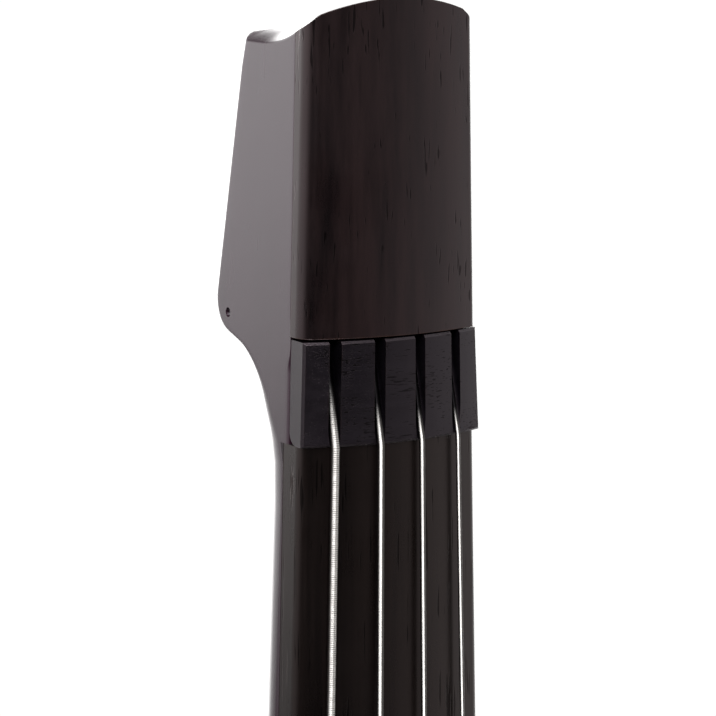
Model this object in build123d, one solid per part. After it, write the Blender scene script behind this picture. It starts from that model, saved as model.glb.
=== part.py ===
from build123d import *
import os
from math import acos, asin, atan, atan2, cos, degrees, hypot, pi, radians, sin, sqrt, tan

# Upright electric double bass on a tripod stand, one solid or group per piece.
# Millimetres, +Z up, the strings face -Y, the low E string is at -X.
# The instrument is drawn in its own frame: x to the right, y backwards from the crown of
# the fingerboard, z up from the lower end of the nut. PLACE moves it onto the stand.

os.makedirs("parts", exist_ok=True)

# ---------------------------------------------------------------- driving dimensions
CLEAR = 0.05            # running clearance on a radius
SEAT_CLEAR = 0.1        # side clearance of a piece let into wood

# stand
LEG_REACH = 340.0       # mast axis to the middle of a foot
FOOT_LENGTH = 62.0
FOOT_WIDTH = 22.0
FOOT_HEIGHT = 20.0
FOOT_FLOOR = 8.0        # rubber under the end of the leg
LEG_WIDTH = 14.0
LEG_DEPTH = 18.0
LEG_WALL = 1.5
HUB_HEIGHT = 236.0      # height of the leg pivots
HUB_RADIUS = 25.0
HUB_BAND = 46.0
LUG_WIDTH = 6.0
LUG_REACH = 40.0        # mast axis to a leg pivot
LEG_PIN_RADIUS = 4.0
MAST_RADIUS = 16.0
MAST_WALL = 1.95
MAST_BOTTOM = 190.0
MAST_TOP = 610.0
INNER_WALL = 1.8
INNER_BOTTOM = 340.0
COLLAR_RADIUS = 22.0
COLLAR_HEIGHT = 34.0
KNOB_RADIUS = 17.0
KNOB_LENGTH = 16.0
CLAMP_SCREW_RADIUS = 4.0
PIVOT_HEIGHT = 800.0
PIVOT_BACK = 33.0       # back of the body to the tilt axis
TONGUE_WIDTH = 24.0
TONGUE_RADIUS = 15.0
TILT_BOLT_RADIUS = 5.0
EAR_THICK = 6.0
PLATE_WIDTH = 84.0
PLATE_HEIGHT = 108.0
PLATE_THICK = 5.0

# head and neck
NUT_HEIGHT_OVER_FLOOR = 1700.0
HEAD_TOP = 97.0         # raw height, before the top is carved
NECK_HALF = 22.3        # half width at the nut
NECK_TAPER = 0.02375    # growth of the half width for each mm down
HEAD_SEAT = 9.0         # joint plane of cover, nut and head
BOARD_SEAT = 11.5       # joint plane of fingerboard and neck
HEAD_BACK_TOP = 32.5
HEAD_BACK_SLOPE = 0.195
CHIN_HEIGHT = 22.9
THROAT_HEIGHT = 17.2
THROAT_BACK = 28.5
NECK_BACK = 27.1
NECK_BACK_START = -14.0
NECK_BACK_GROWTH = 0.021
CHIN_RADIUS = 7.5
THROAT_RADIUS = 11.0
HEAD_CORNER = 3.0
NECK_CORNER = 15.0
HEEL_CORNER = 5.0
TOP_ARCH_RADIUS = 63.0
TOP_CROWN = 96.2
TOP_SLOPE = 0.37
TOP_REAR = 89.35
TOP_BLEND = 33.0
FRONT_ARC = 57.1        # radius of board and cover at the nut
COVER_BOTTOM = 23.65
COVER_EDGE = 2.0
COVER_WALL = 2.6
COVER_PROUD = 0.15      # past the head on each side
CAVITY_HALF = 17.5
CAVITY_BACK = 22.0
CAVITY_BOTTOM = 27.0
CAVITY_TOP = 76.0
NUT_LENGTH = 23.0
NUT_PROUD = 0.9
NUT_HALF = 22.2
NUT_OVERHANG = 0.9      # the treble end stands this much prouder at its lower edge
NUT_HEEL = 3.0          # rounding of the lower back edge
SLOT_WIDTH = 2.6

# fingerboard, strings, bridge
SCALE_LENGTH = 1060.0
BOARD_LENGTH = 880.0
BOARD_HALF = 22.1
BOARD_END_ARC = 115.0
BOARD_FLARE = 0.1       # the side leans out by this much to the neck
BOARD_EDGE = 3.0        # rounding of the long front edges
STRING_GAP_NUT = 10.3
STRING_GAP_BRIDGE = 26.0
STRING_ABOVE_NUT = 1.5
STRING_DIVE = 0.236     # rise to depth ratio above the nut
STRING_DIAMETERS = {"e": 2.13, "a": 1.7, "d": 1.4, "g": 1.09}
BALL_RADIUS = 3.0
BALL_LENGTH = 6.0
ANCHOR_LOW = 50.0
ANCHOR_HIGH = 64.0
BRIDGE_CROWN = -9.0
BRIDGE_ARC = 105.0
BRIDGE_HALF = 48.0
BRIDGE_TOP_THICK = 6.0
BRIDGE_FOOT_THICK = 16.0
BRIDGE_LEG = 40.0       # middle of a leg from the centre line
LEG_SPREAD = 11.0
WHEEL_RADIUS = 11.0
WHEEL_THICK = 5.0
WHEEL_ROD = 3.0
FOOT_WOOD = 10.0
PIEZO_THICK = 2.0

# body
BODY_FRONT = 45.0
BODY_BACK = 87.0
BODY_TOP = -640.0
BODY_END = -SCALE_LENGTH - 230.0
HEEL_END = BODY_TOP - 150.0
HEEL_START = BODY_TOP - 15.0
DECK_START = -SCALE_LENGTH - 78.0
DECK_BACK = 65.0
UPPER_HALF = 62.0
WAIST_HALF = 52.0
BOUT_HALF = 94.0
TAIL_HALF = 50.0
TENON_HALF = 26.0
TENON_DEPTH = 15.0
BOLT_RADIUS = 3.0
CAVITY_WALL = 12.0
CONTROL_X = 62.0
CONTROL_TOP = -SCALE_LENGTH + 60.0
CONTROL_LOW = -SCALE_LENGTH - 58.0
CONTROL_INNER = 18.0
CONTROL_OUTER = 74.0
COVER_PLATE = 2.5
COVER_LIP = 4.0

# tuning machines
POST_RADIUS = 4.0
POST_OUTER_X = 37.0
POST_INNER_X = 17.0
POST_OUTER_Z = -SCALE_LENGTH - 137.0
POST_INNER_Z = -SCALE_LENGTH - 186.0
PLATE_GAUGE = 2.0
MODULE = 1.0
WHEEL_TEETH = 20
WORM_PITCH_RADIUS = 4.5
WHEEL_WIDTH = 4.5
WHEEL_LIFT = 4.4        # plate to wheel
WORM_TURNS = 4.0
KEY_X = 76.0
KEY_SPAN = 17.0
SHAFT_RADIUS = 2.5

# controls
KNOB_SIZE = 9.5
KNOB_RISE = 15.0
CONTROL_SHAFT = 3.0
JACK_BORE = 3.25
JACK_LENGTH = 26.0

# ---------------------------------------------------------------- derived values
FOOT_CORNER = FOOT_WIDTH / 3
FOOT_TIP = LEG_REACH + FOOT_LENGTH / 2 - FOOT_CORNER
FOOT_BACK = (FOOT_TIP * cos(pi / 3) + (FOOT_WIDTH / 2 - FOOT_CORNER) * sin(pi / 3)
             + FOOT_CORNER)
MAST_Y = (FOOT_TIP + FOOT_CORNER - FOOT_BACK) / 2   # the feet are centred on the origin
INNER_RADIUS = MAST_RADIUS - MAST_WALL - CLEAR
PLACE = Pos(0, MAST_Y - BODY_BACK - PIVOT_BACK, NUT_HEIGHT_OVER_FLOOR)
PIVOT_Z = PIVOT_HEIGHT - NUT_HEIGHT_OVER_FLOOR
STRINGS = list(STRING_DIAMETERS)
PARTS = {}


def keep(name, *solids, placed=False):
    """Stores a piece: one solid, or several in one group."""
    shape = solids[0] if len(solids) == 1 else Compound(children=list(solids))
    PARTS[name] = shape if placed else PLACE * shape


def box(x0, x1, y0, y1, z0, z1):
    return Pos((x0 + x1) / 2, (y0 + y1) / 2, (z0 + z1) / 2) * Box(x1 - x0, y1 - y0, z1 - z0)


def rod(radius, start, end):
    """A cylinder from one point to the other."""
    a, b = Vector(*start), Vector(*end)
    return Plane(a, z_dir=b - a) * Cylinder(radius, (b - a).length, align=BASE)


BASE = (Align.CENTER, Align.CENTER, Align.MIN)


def ring(outer, inner, start, end):
    return rod(outer, start, end) - rod(inner, start, end)


def sagitta(radius, x):
    return radius - sqrt(radius**2 - x**2)


def smoothstep(t):
    t = min(max(t, 0.0), 1.0)
    return t * t * (3 - 2 * t)


def prism(points, x0, x1, radii=0.0):
    """A side profile of (y, z) corners, run across from x0 to x1."""
    outline = FilletPolyline(*points, radius=radii, close=True)
    face = Plane.YZ * make_face(outline)
    return Pos(x0, 0, 0) * extrude(face, x1 - x0, dir=(1, 0, 0))


# ---------------------------------------------------------------- neck and head
def neck_half(z):
    return NECK_HALF - NECK_TAPER * z


def arched_section(z, half, crown, arc, back, flare=0.0):
    """A face with an arched front, straight sides and a flat back."""
    edge = crown + sagitta(arc, half)
    front = ThreePointArc((-half, edge), (0, crown), (half, edge))
    rest = Polyline((half, edge), (half + flare, back), (-half - flare, back), (-half, edge))
    return Plane.XY.offset(z) * make_face(front + rest)


def corner_radius(z):
    """Small at the head, full on the neck, small again at the heel."""
    spread = NECK_CORNER - HEAD_CORNER
    upper = HEAD_CORNER + spread * smoothstep((CHIN_HEIGHT + 1 - z) / 30)
    lower = (NECK_CORNER - HEEL_CORNER) * smoothstep((HEEL_START + 75 - z) / 75)
    return upper - lower


def neck_section(z, back):
    half, corner = neck_half(z), corner_radius(z)
    low = back - corner
    outline = [
        Line((-half, HEAD_SEAT), (half, HEAD_SEAT)),
        Line((half, HEAD_SEAT), (half, low)),
        CenterArc((half - corner, low), corner, 0, 90),
        Line((half - corner, back), (corner - half, back)),
        CenterArc((corner - half, low), corner, 90, 90),
        Line((-half, low), (-half, HEAD_SEAT)),
    ]
    return Plane.XY.offset(z) * make_face(outline)


def neck_line(z):
    return NECK_BACK + NECK_BACK_GROWTH * (NECK_BACK_START - z)


def back_profile():
    """Back of head, chin, throat, neck and heel, as (depth, height)."""
    def head_line(z):
        return HEAD_BACK_TOP + HEAD_BACK_SLOPE * (HEAD_TOP - z)

    turn = HEEL_START + 65
    return FilletPolyline(
        (head_line(HEAD_TOP), HEAD_TOP),
        (head_line(CHIN_HEIGHT), CHIN_HEIGHT),
        (THROAT_BACK, THROAT_HEIGHT),
        (NECK_BACK, NECK_BACK_START),
        (neck_line(turn), turn),
        (BODY_FRONT, HEEL_START),
        (BODY_FRONT, HEEL_END),
        radius=[CHIN_RADIUS, THROAT_RADIUS, 60, 60, 60],
    )


def top_cutter():
    """Everything above the carved top of the head: an arch run along a hollow curve."""
    rear = (TOP_CROWN - TOP_REAR) / TOP_SLOPE
    path = FilletPolyline(
        (-12, TOP_CROWN + 12 * TOP_SLOPE), (rear, TOP_REAR), (rear + 40, TOP_REAR),
        radius=TOP_BLEND,
    )
    path = Plane.YZ * path
    half, lift = NECK_HALF + 6, 18.0
    edge = -sagitta(TOP_ARCH_RADIUS, half)
    start = Plane(path @ 0, x_dir=(1, 0, 0), z_dir=path % 0)
    up = 1 if start.y_dir.Z > 0 else -1
    arch = ThreePointArc((-half, up * edge), (0, 0), (half, up * edge))
    rest = Polyline((half, up * edge), (half, up * lift), (-half, up * lift), (-half, up * edge))
    return sweep(start * make_face(arch + rest), path=path)


def string_x(index, z):
    """Sideways place of a string at a height."""
    gap = STRING_GAP_NUT - (STRING_GAP_BRIDGE - STRING_GAP_NUT) * z / SCALE_LENGTH
    return (index - 1.5) * gap


def string_points(index):
    """Ball end, nut, bridge and post tangent of a string's axis."""
    x = string_x(index, 0)
    depth = sagitta(FRONT_ARC, abs(x)) - STRING_ABOVE_NUT
    high = ANCHOR_HIGH + 0.1 + BALL_RADIUS * STRING_DIVE
    start = (string_x(index, high), depth + STRING_DIVE * high, high)
    side = 1 if index > 1 else -1
    outer = index in (0, 3)
    wrap = POST_RADIUS + 0.3 + STRING_DIAMETERS[STRINGS[index]] / 2
    post_x = POST_OUTER_X + wrap if outer else POST_INNER_X - wrap
    bridge_x = string_x(index, -SCALE_LENGTH)
    over = BRIDGE_CROWN + sagitta(BRIDGE_ARC, abs(bridge_x)) - 0.5
    last = (side * post_x, BODY_FRONT - 15, POST_OUTER_Z if outer else POST_INNER_Z)
    return [start, (x, depth, 0), (bridge_x, over, -SCALE_LENGTH), last]


def tube_along(points, radius):
    path = Polyline(*points)
    start = Plane(path @ 0, z_dir=path % 0)
    return sweep(start * Circle(radius), path=path, transition=Transition.RIGHT)


def make_neck():
    """Straight runs are ruled, the chin and the heel are smooth lofts between them."""
    profile = back_profile()
    length = profile.length
    chin = HEAD_TOP - CHIN_HEIGHT - CHIN_RADIUS - 2
    heel = length - (HEEL_START - HEEL_END)
    stops = [0, chin, chin + 66, heel - 88, heel + 8, length]
    steps = [1, 24, 1, 10, 1]

    def section_at(mark):
        spot = profile.position_at(mark, position_mode=PositionMode.LENGTH)
        return neck_section(spot.Y, spot.X)

    neck = None
    for first, last, count in zip(stops, stops[1:], steps):
        marks = [first + (last - first) * i / count for i in range(count + 1)]
        run = loft([section_at(mark) for mark in marks], ruled=count == 1)
        neck = run if neck is None else neck + run
    wide = NECK_HALF * 3
    neck -= box(-wide, wide, HEAD_SEAT - 1, BOARD_SEAT, HEEL_END - 1, 0)
    neck -= top_cutter()
    neck -= box(-CAVITY_HALF, CAVITY_HALF, HEAD_SEAT - 1, CAVITY_BACK, CAVITY_BOTTOM, CAVITY_TOP)
    # channel of the truss rod, open into the head cavity
    neck -= box(-4, 4, HEAD_SEAT - 1, BOARD_SEAT + 9, -620, CAVITY_BOTTOM + 1)
    neck -= box(-wide, wide, BODY_FRONT, BODY_BACK, HEEL_END - 1, BODY_TOP + 20)
    # tenon under the heel
    neck += box(-TENON_HALF, TENON_HALF, BODY_FRONT - 6, BODY_FRONT + TENON_DEPTH,
                HEEL_END, HEEL_START - 20)
    for x, z in NECK_BOLTS:
        neck -= rod(BOLT_RADIUS, (x, BODY_FRONT - 12, z), (x, BODY_BACK, z))
    for x, z in COVER_SCREWS:
        neck -= rod(1.6, (x, HEAD_SEAT - 1, z), (x, 60, z))
        neck -= rod(3.2, (x, HEAD_BACK_TOP - 2, z), (x, 60, z))
    neck -= rod(1.1, (-30, 38.1, 25), (-neck_half(25) + 7, 38.1, 25))
    for x, z in ANCHOR_SCREWS:
        neck -= rod(1.5, (x, CAVITY_BACK - 1, z), (x, CAVITY_BACK + 9, z))
    return neck


NECK_BOLTS = [(x, HEEL_START - z) for x in (-15, 15) for z in (40, 110)]
COVER_SCREWS = [(-11, 81), (11, 81)]
ANCHOR_SCREWS = [(-9.5, 57), (9.5, 57)]


def make_cover():
    low, high = COVER_BOTTOM, HEAD_TOP
    lower = arched_section(low, neck_half(low) + COVER_PROUD, 0, FRONT_ARC, HEAD_SEAT)
    upper = arched_section(high, neck_half(high) + COVER_PROUD, 0, FRONT_ARC, HEAD_SEAT)
    cover = loft([lower, upper], ruled=True)
    edges = [e for e in cover.edges() if e.length > 60 and e.center().Y < HEAD_SEAT - 1]
    cover = fillet(edges, COVER_EDGE)
    hollow = arched_section(low - 1, CAVITY_HALF, COVER_WALL, FRONT_ARC - COVER_WALL,
                            HEAD_SEAT + 1)
    cover -= extrude(hollow, CAVITY_TOP - low, dir=(0, 0, 1))
    cover -= top_cutter()
    for x, z in COVER_SCREWS:
        cover -= rod(1.25, (x, HEAD_SEAT - 5, z), (x, HEAD_SEAT + 1, z))
    return cover


def make_nut():
    narrow = NUT_HALF - NECK_TAPER * NUT_LENGTH
    lower = arched_section(0, NUT_HALF + NUT_OVERHANG, -NUT_PROUD, FRONT_ARC, HEAD_SEAT)
    upper = arched_section(NUT_LENGTH, narrow, -NUT_PROUD, FRONT_ARC, HEAD_SEAT)
    nut = loft([lower, upper], ruled=True)
    # the bass end is planed to the neck's taper
    planed = make_face(Polyline((-NUT_HALF, 0), (-narrow, NUT_LENGTH), (2 * NUT_HALF, NUT_LENGTH),
                                (2 * NUT_HALF, 0), close=True))
    nut &= extrude(Plane.XZ * planed, 2 * HEAD_SEAT, both=True)
    heel = nut.edges().filter_by(lambda e: e.center().Z < 0.1 and e.center().Y > HEAD_SEAT - 0.1)
    nut = fillet(heel, NUT_HEEL)
    nut = chamfer(nut.edges().filter_by(lambda e: e.length > 20 and e.center().Y < 6), 0.5)
    for index, name in enumerate(STRINGS):
        points = string_points(index)
        radius = STRING_DIAMETERS[name] / 2 + 0.02
        low, high = Vector(*points[1]), Vector(*points[0])
        along = (high - low).normalized()
        slot = Plane(low - along * 3, x_dir=(1, 0, 0), z_dir=along)
        front = -20 if slot.y_dir.Y > 0 else 20
        half = SLOT_WIDTH / 2
        back = (radius - half) * (1 if front < 0 else -1)
        shape = make_face(ThreePointArc((-half, back), (0, back - half * front / 20),
                                        (half, back))
                          + Polyline((half, back), (half, front), (-half, front), (-half, back)))
        nut -= extrude(slot * shape, 60, dir=along)
    return nut


def make_board():
    half = BOARD_HALF + NECK_TAPER * BOARD_LENGTH
    upper = arched_section(0, BOARD_HALF, 0, FRONT_ARC, BOARD_SEAT, BOARD_FLARE)
    lower = arched_section(-BOARD_LENGTH, half, 0, BOARD_END_ARC, BOARD_SEAT, BOARD_FLARE)
    board = loft([lower, upper], ruled=True)
    edges = [e for e in board.edges() if e.length > 200 and e.center().Y < BOARD_SEAT - 1]
    board = fillet(edges, BOARD_EDGE)
    end = [e for e in board.edges() if abs(e.center().Z + BOARD_LENGTH) < 0.1]
    return chamfer([e for e in end if e.center().Y < 6 and e.length > 20], 1.0)


def make_string(index, name):
    """From the ball in the anchor over nut and bridge, then three turns round the post."""
    radius = STRING_DIAMETERS[name] / 2
    points = string_points(index)
    first, second = Vector(*points[0]), Vector(*points[1])
    last = Vector(*points[3])
    string = tube_along(points, radius) + Pos(*points[3]) * Sphere(1.04 * radius)
    away = (first - second).normalized()
    string += Plane(first - away * 0.01, z_dir=away) * Cylinder(BALL_RADIUS, BALL_LENGTH,
                                                               align=BASE)
    post_x = POST_OUTER_X if index in (0, 3) else POST_INNER_X
    post_x *= 1 if index > 1 else -1
    offset = last.X - post_x
    turn = Helix(pitch=2 * radius + 0.15, height=3 * (2 * radius + 0.15), radius=abs(offset),
                 lefthand=offset < 0)
    coil_start = Plane(turn @ 0, z_dir=turn % 0)
    coil = sweep(coil_start * Circle(radius), path=turn, is_frenet=True)
    # the coil's axis runs towards the body, its start is the tangent point
    frame = Plane((post_x, last.Y, last.Z), x_dir=(1 if offset > 0 else -1, 0, 0),
                  z_dir=(0, 1, 0))
    return string + frame * coil


def make_anchor():
    block = box(-CAVITY_HALF + SEAT_CLEAR, CAVITY_HALF - SEAT_CLEAR, HEAD_SEAT + 0.5,
                CAVITY_BACK, ANCHOR_LOW, ANCHOR_HIGH)
    block = chamfer(block.edges().filter_by(Axis.X).group_by(Axis.Y)[0], 1.0)
    for index, name in enumerate(STRINGS):
        width = STRING_DIAMETERS[name] + 0.5
        x = string_x(index, (ANCHOR_LOW + ANCHOR_HIGH) / 2)
        depth = string_points(index)[0][1] + STRING_DIAMETERS[name] / 2 + 0.3
        block -= box(x - width / 2, x + width / 2, 0, depth, ANCHOR_LOW - 1, ANCHOR_HIGH + 1)
    for x, z in ANCHOR_SCREWS:
        block -= rod(1.6, (x, 0, z), (x, CAVITY_BACK + 1, z))
    return block


def screw(radius, head, x, z, tip, seat, rise):
    """A screw along y with a round head and a hexagon socket; rise may be negative."""
    way = 1 if rise > 0 else -1
    part = rod(radius, (x, tip, z), (x, seat, z)) + rod(head, (x, seat, z), (x, seat + rise, z))
    socket = Plane((x, seat + rise * 0.4, z), z_dir=(0, way, 0)) * RegularPolygon(radius * 0.9, 6)
    return part - extrude(socket, abs(rise))


def make_truss_rod():
    """Two-way rod in its channel, with the adjusting nut reaching into the head cavity."""
    axis = BOARD_SEAT + 5
    bar = box(-3.9, 3.9, axis - 3, BOARD_SEAT + 8.9, -619, 2)
    bar += rod(2.5, (0, axis, 2), (0, axis, 10))
    nut = extrude(Plane((0, axis, 8), z_dir=(0, 0, 1)) * RegularPolygon(3.9, 6), 17)
    socket = extrude(Plane((0, axis, 18), z_dir=(0, 0, 1)) * RegularPolygon(2.3, 6), 20)
    return bar + nut - socket


# ---------------------------------------------------------------- body
def body_outline():
    """Shoulder arc, waist and bout as one curve, rounded tail, mirrored to the other side."""
    top, end = BODY_TOP, BODY_END
    span = top - end
    shoulder = (0.72 * UPPER_HALF, top - 0.02 * span)
    arc = ThreePointArc((0, top), (shoulder[0] / 2, top - 0.0052 * span), shoulder)
    corner = 14.0
    side = Spline(
        shoulder,
        (UPPER_HALF, top - 0.12 * span),
        (WAIST_HALF, top - 0.36 * span),
        (BOUT_HALF, top - 0.64 * span),
        (TAIL_HALF + 12, top - 0.86 * span),
        (TAIL_HALF, end + corner),
        tangents=[arc % 1, (0, -1)],
    )
    turn = CenterArc((TAIL_HALF - corner, end + corner), corner, 0, -90)
    base = Line((TAIL_HALF - corner, end), (0, end))
    right = [arc, side, turn, base]
    return make_face(right + [mirror(edge, about=Plane.YZ) for edge in right])


def make_body():
    outline = Plane.XZ * body_outline()
    slab = Pos(0, BODY_FRONT, 0) * extrude(outline, BODY_BACK - BODY_FRONT + 10, dir=(0, 1, 0))
    wide = BOUT_HALF + 40
    sides = prism(
        [(BODY_FRONT, BODY_TOP + 2), (BODY_FRONT + 16, BODY_TOP + 2),
         (BODY_BACK, BODY_TOP - 110), (BODY_BACK, DECK_START), (DECK_BACK, DECK_START - 18),
         (DECK_BACK, BODY_END - 2), (BODY_FRONT, BODY_END - 2)],
        -wide, wide, [0, 8, 90, 10, 12, 0, 0],
    )
    body = slab & sides
    rim = body.faces().sort_by(Axis.Y)[0].outer_wire().edges()
    body = fillet(rim, 5.0)
    # pocket of the neck tenon
    grow = SEAT_CLEAR
    body -= box(-TENON_HALF - grow, TENON_HALF + grow, BODY_FRONT - 1,
                BODY_FRONT + TENON_DEPTH, HEEL_END - grow, HEEL_START - 20 + grow)
    for x, z in NECK_BOLTS:
        body -= rod(BOLT_RADIUS + SEAT_CLEAR, (x, BODY_FRONT, z), (x, BODY_BACK + 1, z))
        body -= rod(BOLT_HEAD + SEAT_CLEAR, (x, BOLT_SEAT, z), (x, BODY_BACK + 1, z))
    # control cavity with a rebate for its cover
    floor = BODY_FRONT + CAVITY_WALL
    body -= rounded_box(CONTROL_INNER, CONTROL_OUTER, floor, BODY_BACK + 1,
                        CONTROL_LOW, CONTROL_TOP, 8)
    body -= rounded_box(CONTROL_INNER - COVER_LIP - SEAT_CLEAR,
                        CONTROL_OUTER + COVER_LIP + SEAT_CLEAR, BODY_BACK - COVER_PLATE,
                        BODY_BACK + 1, CONTROL_LOW - COVER_LIP - SEAT_CLEAR,
                        CONTROL_TOP + COVER_LIP + SEAT_CLEAR, 6)
    for z in (VOLUME_Z, TONE_Z, SWITCH_Z):
        body -= rod(BUSH_RADIUS + SEAT_CLEAR, (CONTROL_X, BODY_FRONT - 1, z),
                    (CONTROL_X, floor + 1, z))
    body -= rod(JACK_RADIUS + SEAT_CLEAR, (CONTROL_OUTER - 1, JACK_Y, JACK_Z), (120, JACK_Y, JACK_Z))
    body -= rod(JACK_FLANGE + 1, (JACK_FACE, JACK_Y, JACK_Z), (140, JACK_Y, JACK_Z))
    for x, z in machine_posts():
        body -= rod(BUSHING_RADIUS, (x, BODY_FRONT - 1, z), (x, DECK_BACK + 1, z))
    for x, z in PLATE_SCREWS:
        body -= rod(2.5, (x, BODY_BACK - 20, z), (x, BODY_BACK + 1, z))
    for x, z in control_screws():
        body -= rod(1.2, (x, BODY_BACK - 12, z), (x, BODY_BACK, z))
    for x, z in machine_screws():
        body -= rod(1.3, (x, DECK_BACK - 10, z), (x, DECK_BACK + 1, z))
    return body


def rounded_box(x0, x1, y0, y1, z0, z1, corner):
    """A block whose four edges along y are rounded."""
    shape = Plane.XZ * RectangleRounded(x1 - x0, z1 - z0, corner)
    return Pos((x0 + x1) / 2, y0, (z0 + z1) / 2) * extrude(shape, y1 - y0, dir=(0, 1, 0))


def machine_posts():
    return [(side * x, z) for side in (-1, 1)
            for x, z in ((POST_OUTER_X, POST_OUTER_Z), (POST_INNER_X, POST_INNER_Z))]


def machine_screws():
    high, low = POST_OUTER_Z + CENTRES + 7, POST_INNER_Z - 16
    return [(side * x, z) for side in (-1, 1)
            for x, z in ((12, high), (50, high), (12, low), (43, low))]


def control_screws():
    inset = 1.0
    xs = (CONTROL_INNER + inset, CONTROL_OUTER - inset)
    return [(x + (-2.6 if x < CONTROL_X - 12 else 2.6), z + dz)
            for x in xs for z, dz in ((CONTROL_LOW, 24), (CONTROL_TOP, -24))]


# ---------------------------------------------------------------- bridge
def make_bridge():
    """Carved bridge standing on two legs, thin at the strings, thick at the feet."""
    crown, half = BRIDGE_CROWN, BRIDGE_HALF
    leg_end = BODY_FRONT - PIEZO_THICK - FOOT_WOOD - WHEEL_THICK
    edge = crown + sagitta(BRIDGE_ARC, half)
    inner, outer = BRIDGE_LEG - LEG_SPREAD, BRIDGE_LEG + LEG_SPREAD
    waist = BRIDGE_HALF * 0.88
    middle = (edge + leg_end) / 2
    right = [
        ThreePointArc((0, crown), (half / 2, crown + sagitta(BRIDGE_ARC, half / 2)), (half, edge)),
        Line((half, edge), (half, edge + 4)),
        ThreePointArc((half, edge + 4), (waist, middle + 1), (outer, leg_end)),
        Line((outer, leg_end), (inner, leg_end)),
        ThreePointArc((inner, leg_end), (inner * 0.66, leg_end - 10), (0, leg_end - 15)),
    ]
    face = make_face(right + [mirror(edge, about=Plane.YZ) for edge in right])
    # a round heart between the waists and a slot under each outer string
    face -= Pos(0, crown + 8) * Circle(4.2)
    for side in (-1, 1):
        face -= Pos(side * 21, middle - 3) * Ellipse(7.0, 3.6)
    thick = BRIDGE_FOOT_THICK
    slab = Pos(0, 0, -SCALE_LENGTH - thick) * extrude(face, 2 * thick, dir=(0, 0, 1))
    top, foot = BRIDGE_TOP_THICK / 2, thick / 2
    middle_z = -SCALE_LENGTH
    wedge = prism([(crown - 2, middle_z - top), (crown - 2, middle_z + top),
                   (leg_end + 1, middle_z + foot), (leg_end + 1, middle_z - foot)],
                  -2 * half, 2 * half)
    bridge = slab & wedge
    for index, name in enumerate(STRINGS):
        points = [Vector(*point) for point in string_points(index)]
        near = points[2] + (points[1] - points[2]).normalized() * 14
        far = points[2] + (points[3] - points[2]).normalized() * 14
        bridge -= tube_along([near, points[2], far], STRING_DIAMETERS[name] / 2 + CLEAR)
    for side in (-1, 1):
        x = side * BRIDGE_LEG
        bridge -= rod(WHEEL_ROD + CLEAR, (x, leg_end - 11, middle_z), (x, leg_end + 1, middle_z))
    return bridge


def make_wheel(side):
    """Height wheel with its threaded rod, between a leg and a foot."""
    low = BODY_FRONT - PIEZO_THICK - FOOT_WOOD
    x, z = side * BRIDGE_LEG, -SCALE_LENGTH
    disc = rod(WHEEL_RADIUS, (x, low - WHEEL_THICK, z), (x, low, z))
    disc = chamfer(disc.edges().filter_by(GeomType.CIRCLE), 0.8)
    notch = Circle(1.3)
    rim = [Pos(x, low - WHEEL_THICK - 1, z) * Rot(0, i * 30, 0) * Pos(WHEEL_RADIUS + 0.3, 0, 0)
           * (Plane.XZ * notch) for i in range(12)]
    disc -= [extrude(cut, WHEEL_THICK + 2, dir=(0, 1, 0)) for cut in rim]
    return disc + rod(WHEEL_ROD, (x, low - WHEEL_THICK - 10, z), (x, low + FOOT_WOOD - 2, z))


def make_bridge_feet():
    feet = []
    low = BODY_FRONT - PIEZO_THICK - FOOT_WOOD
    for side in (-1, 1):
        x, z = side * BRIDGE_LEG, -SCALE_LENGTH
        half = BRIDGE_FOOT_THICK / 2
        foot = box(x - LEG_SPREAD - 3, x + LEG_SPREAD + 3, low, low + FOOT_WOOD, z - half, z + half)
        foot = fillet(foot.edges().filter_by(Axis.Y), 3)
        foot = chamfer(foot.edges().group_by(Axis.Y)[0], 1)
        feet.append(foot - rod(WHEEL_ROD + CLEAR, (x, low - 1, z), (x, low + FOOT_WOOD - 1, z)))
    return feet


def make_piezos():
    half = BRIDGE_FOOT_THICK / 2
    return [rounded_box(side * BRIDGE_LEG - LEG_SPREAD - 3, side * BRIDGE_LEG + LEG_SPREAD + 3,
                        BODY_FRONT - PIEZO_THICK, BODY_FRONT, -SCALE_LENGTH - half,
                        -SCALE_LENGTH + half, 3) for side in (-1, 1)]


# ---------------------------------------------------------------- tuning machines
def worm_axis_y():
    return DECK_BACK + PLATE_GAUGE + WHEEL_LIFT + WHEEL_WIDTH / 2


def worm_height(z):
    return z + CENTRES


def make_machine_plate(side):
    """Plate under two machines, with two bearing lugs for each worm shaft."""
    high, low = POST_OUTER_Z + CENTRES + 12, POST_INNER_Z - 21
    x0, x1 = sorted((side * 5, side * 55))
    plate = rounded_box(x0, x1, DECK_BACK, DECK_BACK + PLATE_GAUGE, low, high, 5)
    axis = worm_axis_y()
    for x, z in machine_posts():
        if x * side < 0:
            continue
        plate -= rod(POST_RADIUS + CLEAR, (x, 0, z), (x, 99, z))
        worm_z = worm_height(z)
        for shift in (-LUG_SHIFT, LUG_SHIFT):
            lug = box(x + shift - 2, x + shift + 2, DECK_BACK + PLATE_GAUGE - 0.5, axis,
                      worm_z - 4.2, worm_z + 4.2)
            lug += rod(4.2, (x + shift - 2, axis, worm_z), (x + shift + 2, axis, worm_z))
            plate += lug - rod(SHAFT_RADIUS + CLEAR, (x + shift - 3, axis, worm_z),
                               (x + shift + 3, axis, worm_z))
    for x, z in machine_screws():
        if x * side > 0:
            plate -= rod(1.6, (x, 0, z), (x, 99, z))
    return plate


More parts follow.
